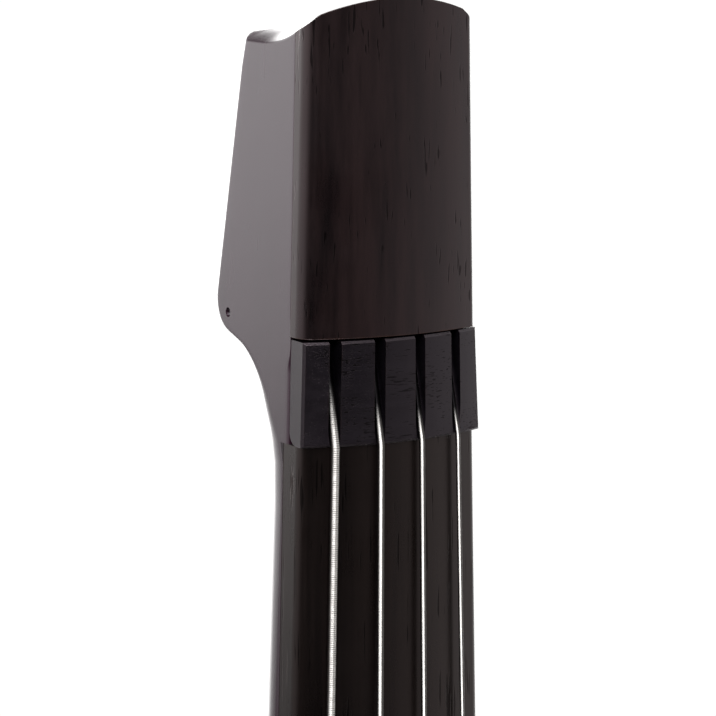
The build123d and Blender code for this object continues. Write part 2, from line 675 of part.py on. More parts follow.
def make_post(x, z):
    """String post, its worm wheel behind the plate and its cap in front."""
    back = DECK_BACK + PLATE_GAUGE + WHEEL_LIFT
    front = BODY_FRONT - 22
    post = rod(POST_RADIUS, (x, front, z), (x, back + 1, z))
    post += rod(POST_RADIUS + 1.5, (x, front - 2, z), (x, front, z))
    post += rod(POST_RADIUS + 2, (x, DECK_BACK + PLATE_GAUGE + 0.2, z), (x, back + 1, z))
    pitch = MODULE * WHEEL_TEETH / 2
    root, tip = pitch - 1.25 * MODULE, pitch + 0.9 * MODULE
    teeth = Circle(root)
    tooth = make_face(Polyline((root - 0.5, -0.8), (tip, -0.36), (tip, 0.36), (root - 0.5, 0.8),
                               close=True))
    teeth += [Rot(0, 0, 90 + 360 / WHEEL_TEETH * i) * tooth for i in range(WHEEL_TEETH)]
    wheel = extrude(Plane((x, back, z), x_dir=(1, 0, 0), z_dir=(0, 1, 0)) * teeth, WHEEL_WIDTH)
    post += wheel
    cap = rod(4.2, (x, back + WHEEL_WIDTH, z), (x, back + WHEEL_WIDTH + 1.6, z))
    slot = box(x - 5, x + 5, back + WHEEL_WIDTH + 0.8, back + 9, z - 0.5, z + 0.5)
    return post + (cap - slot)


def make_key(x, z):
    """Worm on its shaft with the clover key outside the body."""
    side = 1 if x > 0 else -1
    axis, worm_z = worm_axis_y(), worm_height(z)
    lead = pi * MODULE
    length = WORM_TURNS * lead
    root, tip = WORM_PITCH_RADIUS - 1.25 * MODULE, WORM_PITCH_RADIUS + 0.9 * MODULE
    reach = LUG_SHIFT - 2 - CLEAR
    core = rod(root, (x - reach, axis, worm_z), (x + reach, axis, worm_z))
    # the thread stands half a pitch beside the tooth that points at the worm
    helix = Helix(pitch=lead, height=length, radius=root - 0.3)
    begin = Plane(helix @ 0, x_dir=(1, 0, 0), z_dir=helix % 0)
    height = tip - root + 0.3
    profile = make_face(Polyline((0, -0.75), (height, -0.36), (height, 0.36), (0, 0.75),
                                 close=True))
    thread = sweep(begin * profile, path=helix, is_frenet=True)
    # the helix starts half a pitch off the middle on the side that faces the wheel
    turns = Plane((x - length / 2, axis, worm_z), x_dir=(0, 0, 1), z_dir=(1, 0, 0))
    worm = core + turns * thread
    start, end = x - side * (LUG_SHIFT + 4), side * (KEY_X + 4)
    worm += rod(SHAFT_RADIUS, (start, axis, worm_z), (end, axis, worm_z))
    worm += rod(SHAFT_RADIUS + 1.5, (x + side * (LUG_SHIFT + 2 + CLEAR), axis, worm_z),
                (x + side * (LUG_SHIFT + 5), axis, worm_z))
    clover = Circle(KEY_SPAN * 0.36)
    for angle in (0, 100, -100):
        clover += Rot(0, 0, angle) * Pos(KEY_SPAN * 0.56, 0) * Circle(KEY_SPAN * 0.44)
    key = extrude(clover, 2.2, both=True)
    # the key lies across the strings' plane, its middle lobe outwards
    spot = Plane((side * (KEY_X + 12), axis, worm_z), x_dir=(side, 0, 0), z_dir=(0, 1, 0))
    neckpiece = rod(SHAFT_RADIUS + 1.2, (side * (KEY_X - 6), axis, worm_z),
                    (side * (KEY_X + 8), axis, worm_z))
    return worm + neckpiece + spot * key


def make_bushings():
    result = []
    for x, z in machine_posts():
        body = rod(BUSHING_RADIUS - 0.02, (x, BODY_FRONT, z), (x, DECK_BACK, z))
        body += rod(BUSHING_RADIUS + 2.4, (x, BODY_FRONT - 1.5, z), (x, BODY_FRONT, z))
        result.append(body - rod(POST_RADIUS + CLEAR, (x, 0, z), (x, 99, z)))
    return result


# ---------------------------------------------------------------- controls
def make_knob(z):
    """Knob with its shaft through the bushing into the potentiometer."""
    front = BODY_FRONT - 2.2
    knob = rod(KNOB_SIZE, (CONTROL_X, front - KNOB_RISE, z), (CONTROL_X, front, z))
    knob = chamfer(knob.edges().filter_by(GeomType.CIRCLE).group_by(Axis.Y)[0], 1.2)
    grip = [Pos(CONTROL_X, front - KNOB_RISE - 1, z) * Rot(0, i * 30, 0)
            * Pos(KNOB_SIZE + 0.5, 0, 0) * (Plane.XZ * Circle(1.2)) for i in range(12)]
    knob -= [extrude(cut, KNOB_RISE - 3, dir=(0, 1, 0)) for cut in grip]
    hollow = rod(KNOB_SIZE - 2.2, (CONTROL_X, front - 4, z), (CONTROL_X, front + 1, z))
    shaft = rod(CONTROL_SHAFT, (CONTROL_X, front - 5, z),
                (CONTROL_X, BODY_FRONT + CAVITY_WALL + 5, z))
    return knob - hollow + shaft


def make_pots():
    result = []
    floor = BODY_FRONT + CAVITY_WALL
    for z in (VOLUME_Z, TONE_Z):
        can = rod(11, (CONTROL_X, floor, z), (CONTROL_X, floor + 8, z))
        can += rod(BUSH_RADIUS, (CONTROL_X, BODY_FRONT - 1.8, z), (CONTROL_X, floor, z))
        nut = Pos(CONTROL_X, BODY_FRONT - 1.6, z) * (Plane.XZ * RegularPolygon(5.6, 6))
        can += extrude(nut, 1.6, dir=(0, 1, 0))
        bore = rod(CONTROL_SHAFT + CLEAR, (CONTROL_X, BODY_FRONT - 3, z),
                   (CONTROL_X, floor + 5.2, z))
        result.append(can - bore)
    return result


def make_switch_body():
    floor = BODY_FRONT + CAVITY_WALL
    body = box(CONTROL_X - 6.5, CONTROL_X + 6.5, floor, floor + 11, SWITCH_Z - 4, SWITCH_Z + 4)
    body += rod(BUSH_RADIUS, (CONTROL_X, BODY_FRONT - 2, SWITCH_Z), (CONTROL_X, floor, SWITCH_Z))
    nut = Pos(CONTROL_X, BODY_FRONT - 1.6, SWITCH_Z) * (Plane.XZ * RegularPolygon(5.6, 6))
    body += extrude(nut, 1.6, dir=(0, 1, 0))
    # the mouth widens so that the lever can lean both ways
    well = Plane((CONTROL_X, BODY_FRONT + 4, SWITCH_Z), z_dir=(0, -1, 0))
    body -= well * Cone(1.6, 3.1, 7, align=BASE)
    return body - Pos(CONTROL_X, BODY_FRONT + 5, SWITCH_Z) * Sphere(2.0 + CLEAR)


def make_lever():
    lever = Pos(CONTROL_X, BODY_FRONT + 5, SWITCH_Z) * Sphere(2.0)
    stick = Plane((CONTROL_X, BODY_FRONT + 5, SWITCH_Z), z_dir=(0, -1, 0))
    lever += stick * Cone(1.0, 1.9, 17, align=BASE)
    return lever + Pos(CONTROL_X, BODY_FRONT - 12, SWITCH_Z) * Sphere(1.9)


def make_jack():
    outer = JACK_FACE + 2
    jack = rod(JACK_RADIUS, (CONTROL_OUTER - 18, JACK_Y, JACK_Z), (JACK_FACE, JACK_Y, JACK_Z))
    jack += rod(JACK_FLANGE, (JACK_FACE, JACK_Y, JACK_Z), (outer, JACK_Y, JACK_Z))
    jack = chamfer(jack.edges().filter_by(GeomType.CIRCLE).group_by(Axis.X)[-1], 0.6)
    return jack - rod(JACK_BORE, (outer - JACK_LENGTH, JACK_Y, JACK_Z), (outer + 1, JACK_Y, JACK_Z))


def make_board_and_parts():
    floor = BODY_FRONT + CAVITY_WALL
    low = CONTROL_LOW + 58
    board = box(CONTROL_INNER + 3, CONTROL_X - 13.5, floor + 5, floor + 6.6, low, CONTROL_TOP - 4)
    for z in (low + 3, CONTROL_TOP - 7):
        for x in (CONTROL_INNER + 6, CONTROL_X - 16.5):
            board += rod(2.4, (x, floor, z), (x, floor + 5, z))
    for i in range(3):
        z = CONTROL_TOP - 16 - 14 * i
        board += box(CONTROL_INNER + 9, CONTROL_INNER + 17, floor + 6.6, floor + 10, z - 4, z + 4)
    return board


def make_battery():
    floor = BODY_FRONT + CAVITY_WALL
    return rounded_box(CONTROL_INNER + 1, CONTROL_INNER + 27.5, floor, floor + 17.5,
                       CONTROL_LOW + 3, CONTROL_LOW + 51.5, 2)


def make_control_cover():
    plate = rounded_box(CONTROL_INNER - COVER_LIP, CONTROL_OUTER + COVER_LIP,
                        BODY_BACK - COVER_PLATE, BODY_BACK, CONTROL_LOW - COVER_LIP,
                        CONTROL_TOP + COVER_LIP, 6)
    for x, z in control_screws():
        plate -= rod(1.5, (x, 0, z), (x, 99, z))
        plate -= rod(2.5, (x, BODY_BACK - 1.3, z), (x, 99, z))
    return plate


# ---------------------------------------------------------------- stand
def make_stand_plate():
    """Plate on the back of the body with two ears round the tilt axis."""
    back = BODY_BACK + PLATE_THICK
    half = PLATE_WIDTH / 2
    plate = rounded_box(-half, half, BODY_BACK, back, PIVOT_Z - PLATE_HEIGHT / 2,
                        PIVOT_Z + PLATE_HEIGHT / 2, 10)
    axis = BODY_BACK + PIVOT_BACK
    inner = TONGUE_WIDTH / 2 + 0.1
    profile = prism([(back - 0.5, PIVOT_Z - 34), (back - 0.5, PIVOT_Z + 34),
                     (axis + 4, PIVOT_Z + TONGUE_RADIUS), (axis + TONGUE_RADIUS, PIVOT_Z + 5),
                     (axis + TONGUE_RADIUS, PIVOT_Z - 5), (axis + 4, PIVOT_Z - TONGUE_RADIUS)],
                    inner, inner + EAR_THICK, [0, 0, 6, 6, 6, 6])
    profile -= rod(TILT_BOLT_RADIUS + CLEAR, (0, axis, PIVOT_Z), (60, axis, PIVOT_Z))
    for side in (1, -1):
        plate += profile if side > 0 else mirror(profile, about=Plane.YZ)
    for x, z in PLATE_SCREWS:
        plate -= rod(2.8, (x, 0, z), (x, 199, z))
    return plate


def make_tilt_head():
    """Plug and flange in the top of the mast, with the tongue between the ears."""
    axis = BODY_BACK + PIVOT_BACK
    top = MAST_HEAD
    plug = rod(INNER_RADIUS - INNER_WALL - 0.02, (0, axis, top - 32), (0, axis, top))
    flange = rod(INNER_RADIUS + 3, (0, axis, top), (0, axis, top + 4))
    half = TONGUE_WIDTH / 2
    tongue = box(-half, half, axis - TONGUE_RADIUS, axis + TONGUE_RADIUS, top + 3, PIVOT_Z)
    tongue += rod(TONGUE_RADIUS, (-half, axis, PIVOT_Z), (half, axis, PIVOT_Z))
    head = plug + flange + tongue
    return head - rod(TILT_BOLT_RADIUS + CLEAR, (-60, axis, PIVOT_Z), (60, axis, PIVOT_Z))


def lobed_knob(radius, length):
    """A clamp knob with five lobes, standing on the XY plane."""
    face = Circle(radius * 0.72)
    face += [Rot(0, 0, 72 * i) * Pos(radius * 0.68, 0) * Circle(radius * 0.32) for i in range(5)]
    knob = extrude(face, length)
    return knob + Cylinder(radius * 0.5, length + 3, align=BASE)


def make_tilt_knob():
    axis = BODY_BACK + PIVOT_BACK
    face = TONGUE_WIDTH / 2 + 0.1 + EAR_THICK
    bolt = rod(TILT_BOLT_RADIUS, (-face - 9, axis, PIVOT_Z), (face + 6, axis, PIVOT_Z))
    bolt += rod(TILT_BOLT_RADIUS + 4, (face, axis, PIVOT_Z), (face + 5, axis, PIVOT_Z))
    place = Plane((face + 4, axis, PIVOT_Z), z_dir=(1, 0, 0))
    return bolt + place * lobed_knob(KNOB_RADIUS + 4, KNOB_LENGTH)


def make_tilt_nut():
    axis = BODY_BACK + PIVOT_BACK
    face = TONGUE_WIDTH / 2 + 0.1 + EAR_THICK
    nut = Plane((-face - 7, axis, PIVOT_Z), z_dir=(1, 0, 0)) * RegularPolygon(10, 6)
    return extrude(nut, 7) - rod(TILT_BOLT_RADIUS + CLEAR, (-60, axis, PIVOT_Z), (0, axis, PIVOT_Z))


# the stand's own frame: the mast is the z axis, the front leg points to -y
def leg_pitch():
    return atan2(HUB_HEIGHT - (FOOT_HEIGHT + FOOT_FLOOR) / 2, LEG_REACH - LUG_REACH)


def leg_frame():
    """x along the leg to its foot, y across it, z out of its upper face."""
    pitch = leg_pitch()
    return Plane((0, -LUG_REACH, HUB_HEIGHT), x_dir=(0, -cos(pitch), -sin(pitch)),
                 z_dir=(0, -sin(pitch), cos(pitch)))


def leg_blank(grow=0.0):
    """The leg's outer form, longer than it needs to be."""
    half, wide = LEG_DEPTH / 2 + grow, LEG_WIDTH + 2 * grow
    length = hypot(LEG_REACH - LUG_REACH, HUB_HEIGHT) + 60
    bar = Pos(length / 2, 0, 0) * Box(length, wide, 2 * half)
    bar = fillet(bar.edges().filter_by(Axis.X), 3)
    round_end = Rot(90, 0, 0) * Cylinder(LEG_DEPTH / 2, LEG_WIDTH)
    return leg_frame() * (bar + round_end)


def above(height):
    size = 4 * LEG_REACH
    return Pos(0, 0, height + size / 2) * Box(size, size, size)


def make_leg():
    """Rectangular tube, closed and rounded at the pivot, cut level at the foot."""
    length = hypot(LEG_REACH - LUG_REACH, HUB_HEIGHT) + 80
    inner = Pos(length / 2 + 26, 0, 0) * Box(length, LEG_WIDTH - 2 * LEG_WALL,
                                             LEG_DEPTH - 2 * LEG_WALL)
    leg = (leg_blank() & above(FOOT_FLOOR)) - leg_frame() * inner
    bore = Rot(90, 0, 0) * Cylinder(LEG_PIN_RADIUS + CLEAR, 3 * LEG_WIDTH)
    return leg - leg_frame() * bore


def make_foot():
    pad = extrude(RectangleRounded(FOOT_WIDTH, FOOT_LENGTH, FOOT_CORNER), FOOT_HEIGHT)
    pad = chamfer(pad.edges().group_by(Axis.Z)[-1], 1.5)
    pad = Pos(0, -LEG_REACH, 0) * pad
    return pad - (leg_blank(SEAT_CLEAR) & above(FOOT_FLOOR))


def make_pin():
    reach = LEG_WIDTH / 2 + SEAT_CLEAR + LUG_WIDTH
    pin = Rot(0, 90, 0) * Cylinder(LEG_PIN_RADIUS, 2 * reach + 4)
    for side in (-1, 1):
        pin += Pos(side * (reach + 1.5), 0, 0) * Rot(0, 90, 0) * Cylinder(LEG_PIN_RADIUS + 2.5, 3)
    return Pos(0, -LUG_REACH, HUB_HEIGHT) * pin


def make_lugs():
    """Two lugs for one leg, tied above the leg by the bar it rests against."""
    gap = LEG_WIDTH / 2 + SEAT_CLEAR
    low, high = HUB_HEIGHT - 20, HUB_HEIGHT + 22
    reach = LUG_REACH
    outline = [(-HUB_RADIUS + 6, low), (-HUB_RADIUS + 6, high), (-reach - 12, high),
               (-reach - 25, HUB_HEIGHT + 7), (-reach - 14, HUB_HEIGHT - 10), (-reach + 4, low)]
    pair = None
    for side in (-1, 1):
        x0, x1 = sorted((side * gap, side * (gap + LUG_WIDTH)))
        lug = prism(outline, x0, x1, [0, 0, 8, 8, 8, 8])
        pair = lug if pair is None else pair + lug
    frame = leg_frame()
    bar = Pos(10, 0, LEG_DEPTH / 2 + 3) * Box(9, 2 * gap + 2, 6)
    pair += frame * bar
    return pair - Pos(0, -LUG_REACH, HUB_HEIGHT) * Rot(0, 90, 0) * Cylinder(LEG_PIN_RADIUS + 0.02,
                                                                           90)


def make_hub():
    top = HUB_HEIGHT + 22
    hub = rod(HUB_RADIUS, (0, 0, top - HUB_BAND), (0, 0, top))
    hub = chamfer(hub.edges().filter_by(GeomType.CIRCLE), 1.5)
    lugs = make_lugs()
    for turn in (0, 120, 240):
        hub += Rot(0, 0, turn) * lugs
    return hub - rod(MAST_RADIUS + 0.02, (0, 0, 0), (0, 0, 400))


def make_mast_outer():
    tube = ring(MAST_RADIUS, MAST_RADIUS - MAST_WALL, (0, 0, MAST_BOTTOM), (0, 0, MAST_TOP))
    screw_z = MAST_TOP - 10
    return tube - rod(CLAMP_SCREW_RADIUS + 0.6, (0, 0, screw_z), (0, 40, screw_z))


def make_mast_cap():
    cap = rod(MAST_RADIUS + 2, (0, 0, MAST_BOTTOM - 5), (0, 0, MAST_BOTTOM))
    return cap + rod(MAST_RADIUS - MAST_WALL - 0.05, (0, 0, MAST_BOTTOM), (0, 0, MAST_BOTTOM + 14))


def make_collar():
    """Clamp collar over the top of the outer mast, with the boss of its screw."""
    top = MAST_TOP + 8
    collar = rod(COLLAR_RADIUS, (0, 0, top - COLLAR_HEIGHT), (0, 0, top))
    collar = chamfer(collar.edges().filter_by(GeomType.CIRCLE), 1.5)
    screw_z = MAST_TOP - 10
    collar += rod(9, (0, 10, screw_z), (0, COLLAR_RADIUS + 8, screw_z))
    collar -= rod(MAST_RADIUS + 0.02, (0, 0, 0), (0, 0, MAST_TOP))
    collar -= rod(INNER_RADIUS + CLEAR, (0, 0, 0), (0, 0, top + 1))
    return collar - rod(CLAMP_SCREW_RADIUS + CLEAR, (0, 0, screw_z), (0, 60, screw_z))


def make_height_knob():
    screw_z = MAST_TOP - 10
    end = COLLAR_RADIUS + 12
    screw = rod(CLAMP_SCREW_RADIUS, (0, INNER_RADIUS + 0.3, screw_z), (0, end + 4, screw_z))
    place = Plane((0, end, screw_z), z_dir=(0, 1, 0))
    return screw + place * lobed_knob(KNOB_RADIUS, KNOB_LENGTH)


def make_mast_inner():
    top = NUT_HEIGHT_OVER_FLOOR + MAST_HEAD
    return ring(INNER_RADIUS, INNER_RADIUS - INNER_WALL, (0, 0, INNER_BOTTOM), (0, 0, top))


# ---------------------------------------------------------------- all pieces
CENTRES = MODULE * WHEEL_TEETH / 2 + WORM_PITCH_RADIUS
LUG_SHIFT = WORM_TURNS * MODULE * pi / 2 + 3.4
BUSHING_RADIUS = POST_RADIUS + 2.2
BOLT_HEAD = 2 * BOLT_RADIUS
BOLT_SEAT = BODY_FRONT + 21
MAST_HEAD = PIVOT_Z - TONGUE_RADIUS - 15
BUSH_RADIUS = 3.9
VOLUME_Z = CONTROL_TOP - 15
TONE_Z = VOLUME_Z - 33
SWITCH_Z = TONE_Z - 30
JACK_Z = CONTROL_LOW + 10
JACK_Y = BODY_FRONT + 26
JACK_FACE = CONTROL_OUTER + 5
JACK_RADIUS = JACK_BORE + 2
JACK_FLANGE = JACK_BORE + 6
PLATE_SCREWS = [(x * (PLATE_WIDTH / 2 - 10), PIVOT_Z + z * (PLATE_HEIGHT / 2 - 10))
                for x in (-1, 1) for z in (-1, 1)]


def build():
    keep("neck", make_neck())
    keep("head_cover", make_cover())
    keep("nut", make_nut())
    keep("fingerboard", make_board())
    for index, name in enumerate(STRINGS):
        keep("string_" + name, make_string(index, name))
    keep("string_anchor", make_anchor())
    keep("anchor_screws", *[screw(1.48, 2.4, x, z, CAVITY_BACK + 8, HEAD_SEAT + 0.5, -2.2)
                            for x, z in ANCHOR_SCREWS])
    keep("cover_screws", *[screw(1.2, 3.0, x, z, HEAD_SEAT - 4.5, HEAD_BACK_TOP - 2, 2.0)
                           for x, z in COVER_SCREWS])
    keep("head_pin", rod(1.05, (-neck_half(25) + 7, 38.1, 25), (-neck_half(25) + 0.7, 38.1, 25)))
    keep("truss_rod", make_truss_rod())
    keep("neck_bolts", *[screw(BOLT_RADIUS - 0.02, BOLT_HEAD, x, z, BODY_FRONT - 11, BOLT_SEAT, 4)
                         for x, z in NECK_BOLTS])
    keep("plate_screws", *[screw(2.48, 5.0, x, z, BODY_BACK - 19, BODY_BACK + PLATE_THICK, 3)
                           for x, z in PLATE_SCREWS])
    keep("tuner_screws", *[screw(1.28, 2.6, x, z, DECK_BACK - 9.5, DECK_BACK + PLATE_GAUGE, 1.5)
                           for x, z in machine_screws()])
    keep("cover_plate_screws", *[screw(1.18, 2.4, x, z, BODY_BACK - 11.5, BODY_BACK - 1.3, 1.3)
                                 for x, z in control_screws()])
    keep("body", make_body())
    keep("bridge", make_bridge())
    keep("bridge_feet", *make_bridge_feet())
    keep("bridge_wheel_left", make_wheel(-1))
    keep("bridge_wheel_right", make_wheel(1))
    keep("piezo_plates", *make_piezos())
    keep("tuner_plate_left", make_machine_plate(-1))
    keep("tuner_plate_right", make_machine_plate(1))
    for index, name in enumerate(STRINGS):
        x, z = machine_posts()[(0, 1, 3, 2)[index]]
        keep("tuner_post_" + name, make_post(x, z))
        keep("tuner_key_" + name, make_key(x, z))
    keep("post_bushings", *make_bushings())
    keep("volume_knob", make_knob(VOLUME_Z))
    keep("tone_knob", make_knob(TONE_Z))
    keep("potentiometers", *make_pots())
    keep("switch_body", make_switch_body())
    keep("switch_lever", make_lever())
    keep("output_jack", make_jack())
    keep("preamp_board", make_board_and_parts())
    keep("battery", make_battery())
    keep("control_cover", make_control_cover())
    keep("stand_plate", make_stand_plate())
    keep("tilt_head", make_tilt_head())
    keep("tilt_knob", make_tilt_knob())
    keep("tilt_nut", make_tilt_nut())
    stand = Pos(0, MAST_Y, 0)
    keep("mast_inner", stand * make_mast_inner(), placed=True)
    keep("mast_outer", stand * make_mast_outer(), placed=True)
    keep("mast_cap", stand * make_mast_cap(), placed=True)
    keep("leg_hub", stand * make_hub(), placed=True)
    keep("clamp_collar", stand * make_collar(), placed=True)
    keep("height_knob", stand * make_height_knob(), placed=True)
    turns = {"front": 0, "right": 120, "left": 240}
    leg, foot, pin = make_leg(), make_foot(), make_pin()
    for name, turn in turns.items():
        keep("leg_" + name, stand * Rot(0, 0, turn) * leg, placed=True)
        keep("foot_" + name, stand * Rot(0, 0, turn) * foot, placed=True)
    keep("leg_pins", *[stand * Rot(0, 0, turn) * pin for turn in turns.values()], placed=True)


build()
for label, piece in PARTS.items():
    piece.label = label
    export_step(piece, "parts/" + label + ".step")
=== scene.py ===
"""Looks of an upright electric double bass on its tripod stand.

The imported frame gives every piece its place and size. Lengths are metres where nothing else is
said. The instrument has its own directions: x to the right, depth backwards from the crown of the
fingerboard at the nut, and height up from the lower end of the nut. The classes below each dress
one sub-assembly.
"""

from __future__ import annotations

import logging
import math
from dataclasses import dataclass, field
from enum import Enum
from typing import Sequence

import bmesh
import bpy
from mathutils import Matrix, Vector


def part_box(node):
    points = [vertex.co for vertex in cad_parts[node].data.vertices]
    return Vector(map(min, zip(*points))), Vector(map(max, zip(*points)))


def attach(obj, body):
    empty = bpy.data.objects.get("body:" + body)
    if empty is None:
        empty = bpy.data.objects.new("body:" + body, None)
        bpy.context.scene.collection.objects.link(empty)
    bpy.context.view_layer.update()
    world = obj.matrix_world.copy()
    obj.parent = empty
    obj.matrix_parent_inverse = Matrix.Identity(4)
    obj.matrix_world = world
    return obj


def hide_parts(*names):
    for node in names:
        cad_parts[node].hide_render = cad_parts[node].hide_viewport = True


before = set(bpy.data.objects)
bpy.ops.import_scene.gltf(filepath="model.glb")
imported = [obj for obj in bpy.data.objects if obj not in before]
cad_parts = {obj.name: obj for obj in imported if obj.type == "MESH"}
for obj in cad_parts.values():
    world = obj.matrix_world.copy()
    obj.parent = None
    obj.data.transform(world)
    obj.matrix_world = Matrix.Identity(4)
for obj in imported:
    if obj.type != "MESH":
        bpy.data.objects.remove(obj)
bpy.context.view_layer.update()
LOG = logging.getLogger("double_bass")
MM = 0.001
DOUBLES = 0.002 * MM  # vertices that lie closer become one
SHARP = 30.0  # edges that turn by more degrees stay sharp
SHARP_CAD = 32.0  # the same on copies of CAD nodes
Ring = list[Vector]
Colour = tuple[float, float, float, float]
Pair = tuple[float, float]
Box = tuple[tuple[float, float, float], tuple[float, float, float]]


# ---------------------------------------------------------------- places on the instrument
@dataclass(frozen=True)
class Datum:
    """Where the instrument's own origin lies in the frame."""

    origin: Vector

    @classmethod
    def from_nut(cls, back: float = 9.0) -> Datum:
        """Reads the origin from the nut.

        Args:
            back: how far the nut's back lies behind the fingerboard's crown, in millimetres.

        Returns:
            The datum.
        """
        low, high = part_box("nut")
        return cls(Vector((0.0, high.y - back * MM, low.z)))

    def at(self, x: float, depth: float, height: float) -> Vector:
        """Turns instrument millimetres into a frame point in metres."""
        return self.origin + Vector((x, depth, height)) * MM


DATUM = Datum.from_nut()


def smoothstep(share: float) -> float:
    """Eases a share from 0 to 1."""
    share = min(max(share, 0.0), 1.0)
    return share * share * (3 - 2 * share)


def lerp(start: float, end: float, share: float) -> float:
    """Value at a share of the way from start to end."""
    return start + (end - start) * share


def sagitta(radius: float, offset: float) -> float:
    """How far an arc of that radius has fallen at an offset from its crown."""
    return radius - math.sqrt(max(radius * radius - offset * offset, 0.0))


def spread(start: float, end: float, count: int) -> list[float]:
    """Evenly spaced values, both ends included."""
    return [lerp(start, end, i / count) for i in range(count + 1)]


def filleted(corners: Sequence[Vector], radii: Sequence[float], steps: int) -> list[Vector]:
    """Samples a line whose inner corners are rounded.

    Args:
        corners: the corner points of the line.
        radii: one radius for each inner corner.
        steps: samples along each round corner.

    Returns:
        The points from the first corner to the last.
    """
    path = [corners[0]]
    for before, corner, after, radius in zip(corners, corners[1:], corners[2:], radii):
        inward, outward = (corner - before).normalized(), (after - corner).normalized()
        turn = inward.angle(outward)
        reach = radius * math.tan(turn / 2)
        start, end = corner - inward * reach, corner + outward * reach
        centre = corner + (outward - inward).normalized() * (radius / math.cos(turn / 2))
        for share in spread(0.0, 1.0, steps):
            arm = (start - centre) * math.sin((1 - share) * turn)
            arm += (end - centre) * math.sin(share * turn)
            path.append(centre + arm / math.sin(turn))
    path.append(corners[-1])
    return path


def spaced(path: Sequence[Vector], longest: float) -> list[Vector]:
    """Adds points to the long runs of a line.

    Args:
        path: the points of the line.
        longest: the longest step that may be left.

    Returns:
        The points with the new ones between them.
    """
    result = [path[0]]
    for start, end in zip(path, path[1:]):
        count = max(1, math.ceil((end - start).length / longest))
        result += [start.lerp(end, i / count) for i in range(1, count + 1)]
    return result


# ---------------------------------------------------------------- meshes
def ring_edges(ring: Sequence[bmesh.types.BMVert]) -> list[bmesh.types.BMEdge]:
    """Edges between neighbours of a closed ring of vertices."""
    members = set(ring)
    return list({e for v in ring for e in v.link_edges if e.other_vert(v) in members})


def round_edges(bm: bmesh.types.BMesh, edges: Sequence[bmesh.types.BMEdge], width: float,
                segments: int) -> None:
    """Rounds edges of a mesh under work.

    Args:
        bm: the mesh under work.
        edges: the edges.
        width: width of the rounding in millimetres.
        segments: faces across it.
    """
    bmesh.ops.bevel(bm, geom=edges, offset=width * MM, offset_type="OFFSET", segments=segments,
                    profile=0.5, affect="EDGES", material=-1, clamp_overlap=True)


def start_ring(bm: bmesh.types.BMesh, points: Ring) -> list[bmesh.types.BMVert]:
    """Makes a circle with one vertex for each point and moves them there.

    Args:
        bm: the mesh under work.
        points: where the vertices go, in order.

    Returns:
        The vertices in that order.
    """
    made = bmesh.ops.create_circle(bm, segments=len(points), radius=1.0)["verts"]
    for vert, point in zip(made, points):
        vert.co = point
    return made


def next_ring(bm: bmesh.types.BMesh, ring: Sequence[bmesh.types.BMVert], points: Ring,
              ) -> list[bmesh.types.BMVert]:
    """Extrudes a closed ring to the next one.

    Args:
        bm: the mesh under work.
        ring: the vertices of the last ring, in order.
        points: where their copies go, in the same order.

    Returns:
        The new ring's vertices, in order.
    """
    made = bmesh.ops.extrude_edge_only(bm, edges=ring_edges(ring))["geom"]
    fresh = {g for g in made if isinstance(g, bmesh.types.BMVert)}
    mates = [next(e.other_vert(v) for e in v.link_edges if e.other_vert(v) in fresh)
             for v in ring]
    for mate, point in zip(mates, points):
        mate.co = point
    return mates


def loft(bm: bmesh.types.BMesh, rings: Sequence[Ring], caps: tuple[bool, bool] = (True, True),
         along: Sequence[float] | None = None) -> list[list[bmesh.types.BMVert]]:
    """Runs a skin through closed rings that all have as many points.

    Args:
        bm: the mesh under work.
        rings: the points of each ring.
        caps: whether the first and the last ring are closed with a face.
        along: a length for each ring, kept on the vertices for patterns that follow the piece.

    Returns:
        The rings' vertices.
    """
    if along is not None:
        layer = bm.verts.layers.float.get("along") or bm.verts.layers.float.new("along")
    skins = [start_ring(bm, rings[0])]
    for points in rings[1:]:
        skins.append(next_ring(bm, skins[-1], points))
    for wanted, ring in zip(caps, (skins[0], skins[-1])):
        if wanted:
            bm.faces.new(ring)
    if along is not None:
        for length, ring in zip(along, skins):
            for vert in ring:
                vert[layer] = length
    return skins


def tube(bm: bmesh.types.BMesh, path: Sequence[Vector], radius: float, segments: int) -> None:
    """Runs a round rod along a path, with its length kept on the vertices.

    Args:
        bm: the mesh under work.
        path: points of the middle line.
        radius: the rod's radius.
        segments: corners of each ring.
    """
    tangents = [(b - a).normalized() for a, b in zip(path, path[1:])]
    tangents = [tangents[0]] + [(a + b).normalized() for a, b in zip(tangents, tangents[1:])] \
        + [tangents[-1]]
    side = tangents[0].orthogonal().normalized()
    rings, lengths, length = [], [], 0.0
    for i, (point, tangent) in enumerate(zip(path, tangents)):
        side = (side - tangent * side.dot(tangent)).normalized()
        other = tangent.cross(side)
        length += (point - path[i - 1]).length if i else 0.0
        rings.append([point + (side * math.cos(a) + other * math.sin(a)) * radius
                      for a in (2 * math.pi * k / segments for k in range(segments))])
        lengths.append(length)
    loft(bm, rings, along=lengths)


def lathe(bm: bmesh.types.BMesh, profile: Sequence[Pair], centre: Vector,
          axis: Vector, segments: int) -> None:
    """Turns a closed profile about an axis.

    Args:
        bm: the mesh under work.
        profile: (radius, distance along the axis) corners, both ends on the axis.
        centre: the point that distances count from.
        axis: direction of the axis.
        segments: steps round the axis.
    """
    axis = axis.normalized()
    side = axis.orthogonal().normalized()
    verts = [bm.verts.new(centre + side * r + axis * d) for r, d in profile]
    edges = [bm.edges.new(pair) for pair in zip(verts, verts[1:])]
    bmesh.ops.spin(bm, geom=verts + edges, cent=centre, axis=axis, dvec=(0, 0, 0),
                   angle=2 * math.pi, steps=segments, use_merge=True, use_duplicate=False)
    bmesh.ops.remove_doubles(bm, verts=bm.verts[:], dist=DOUBLES)


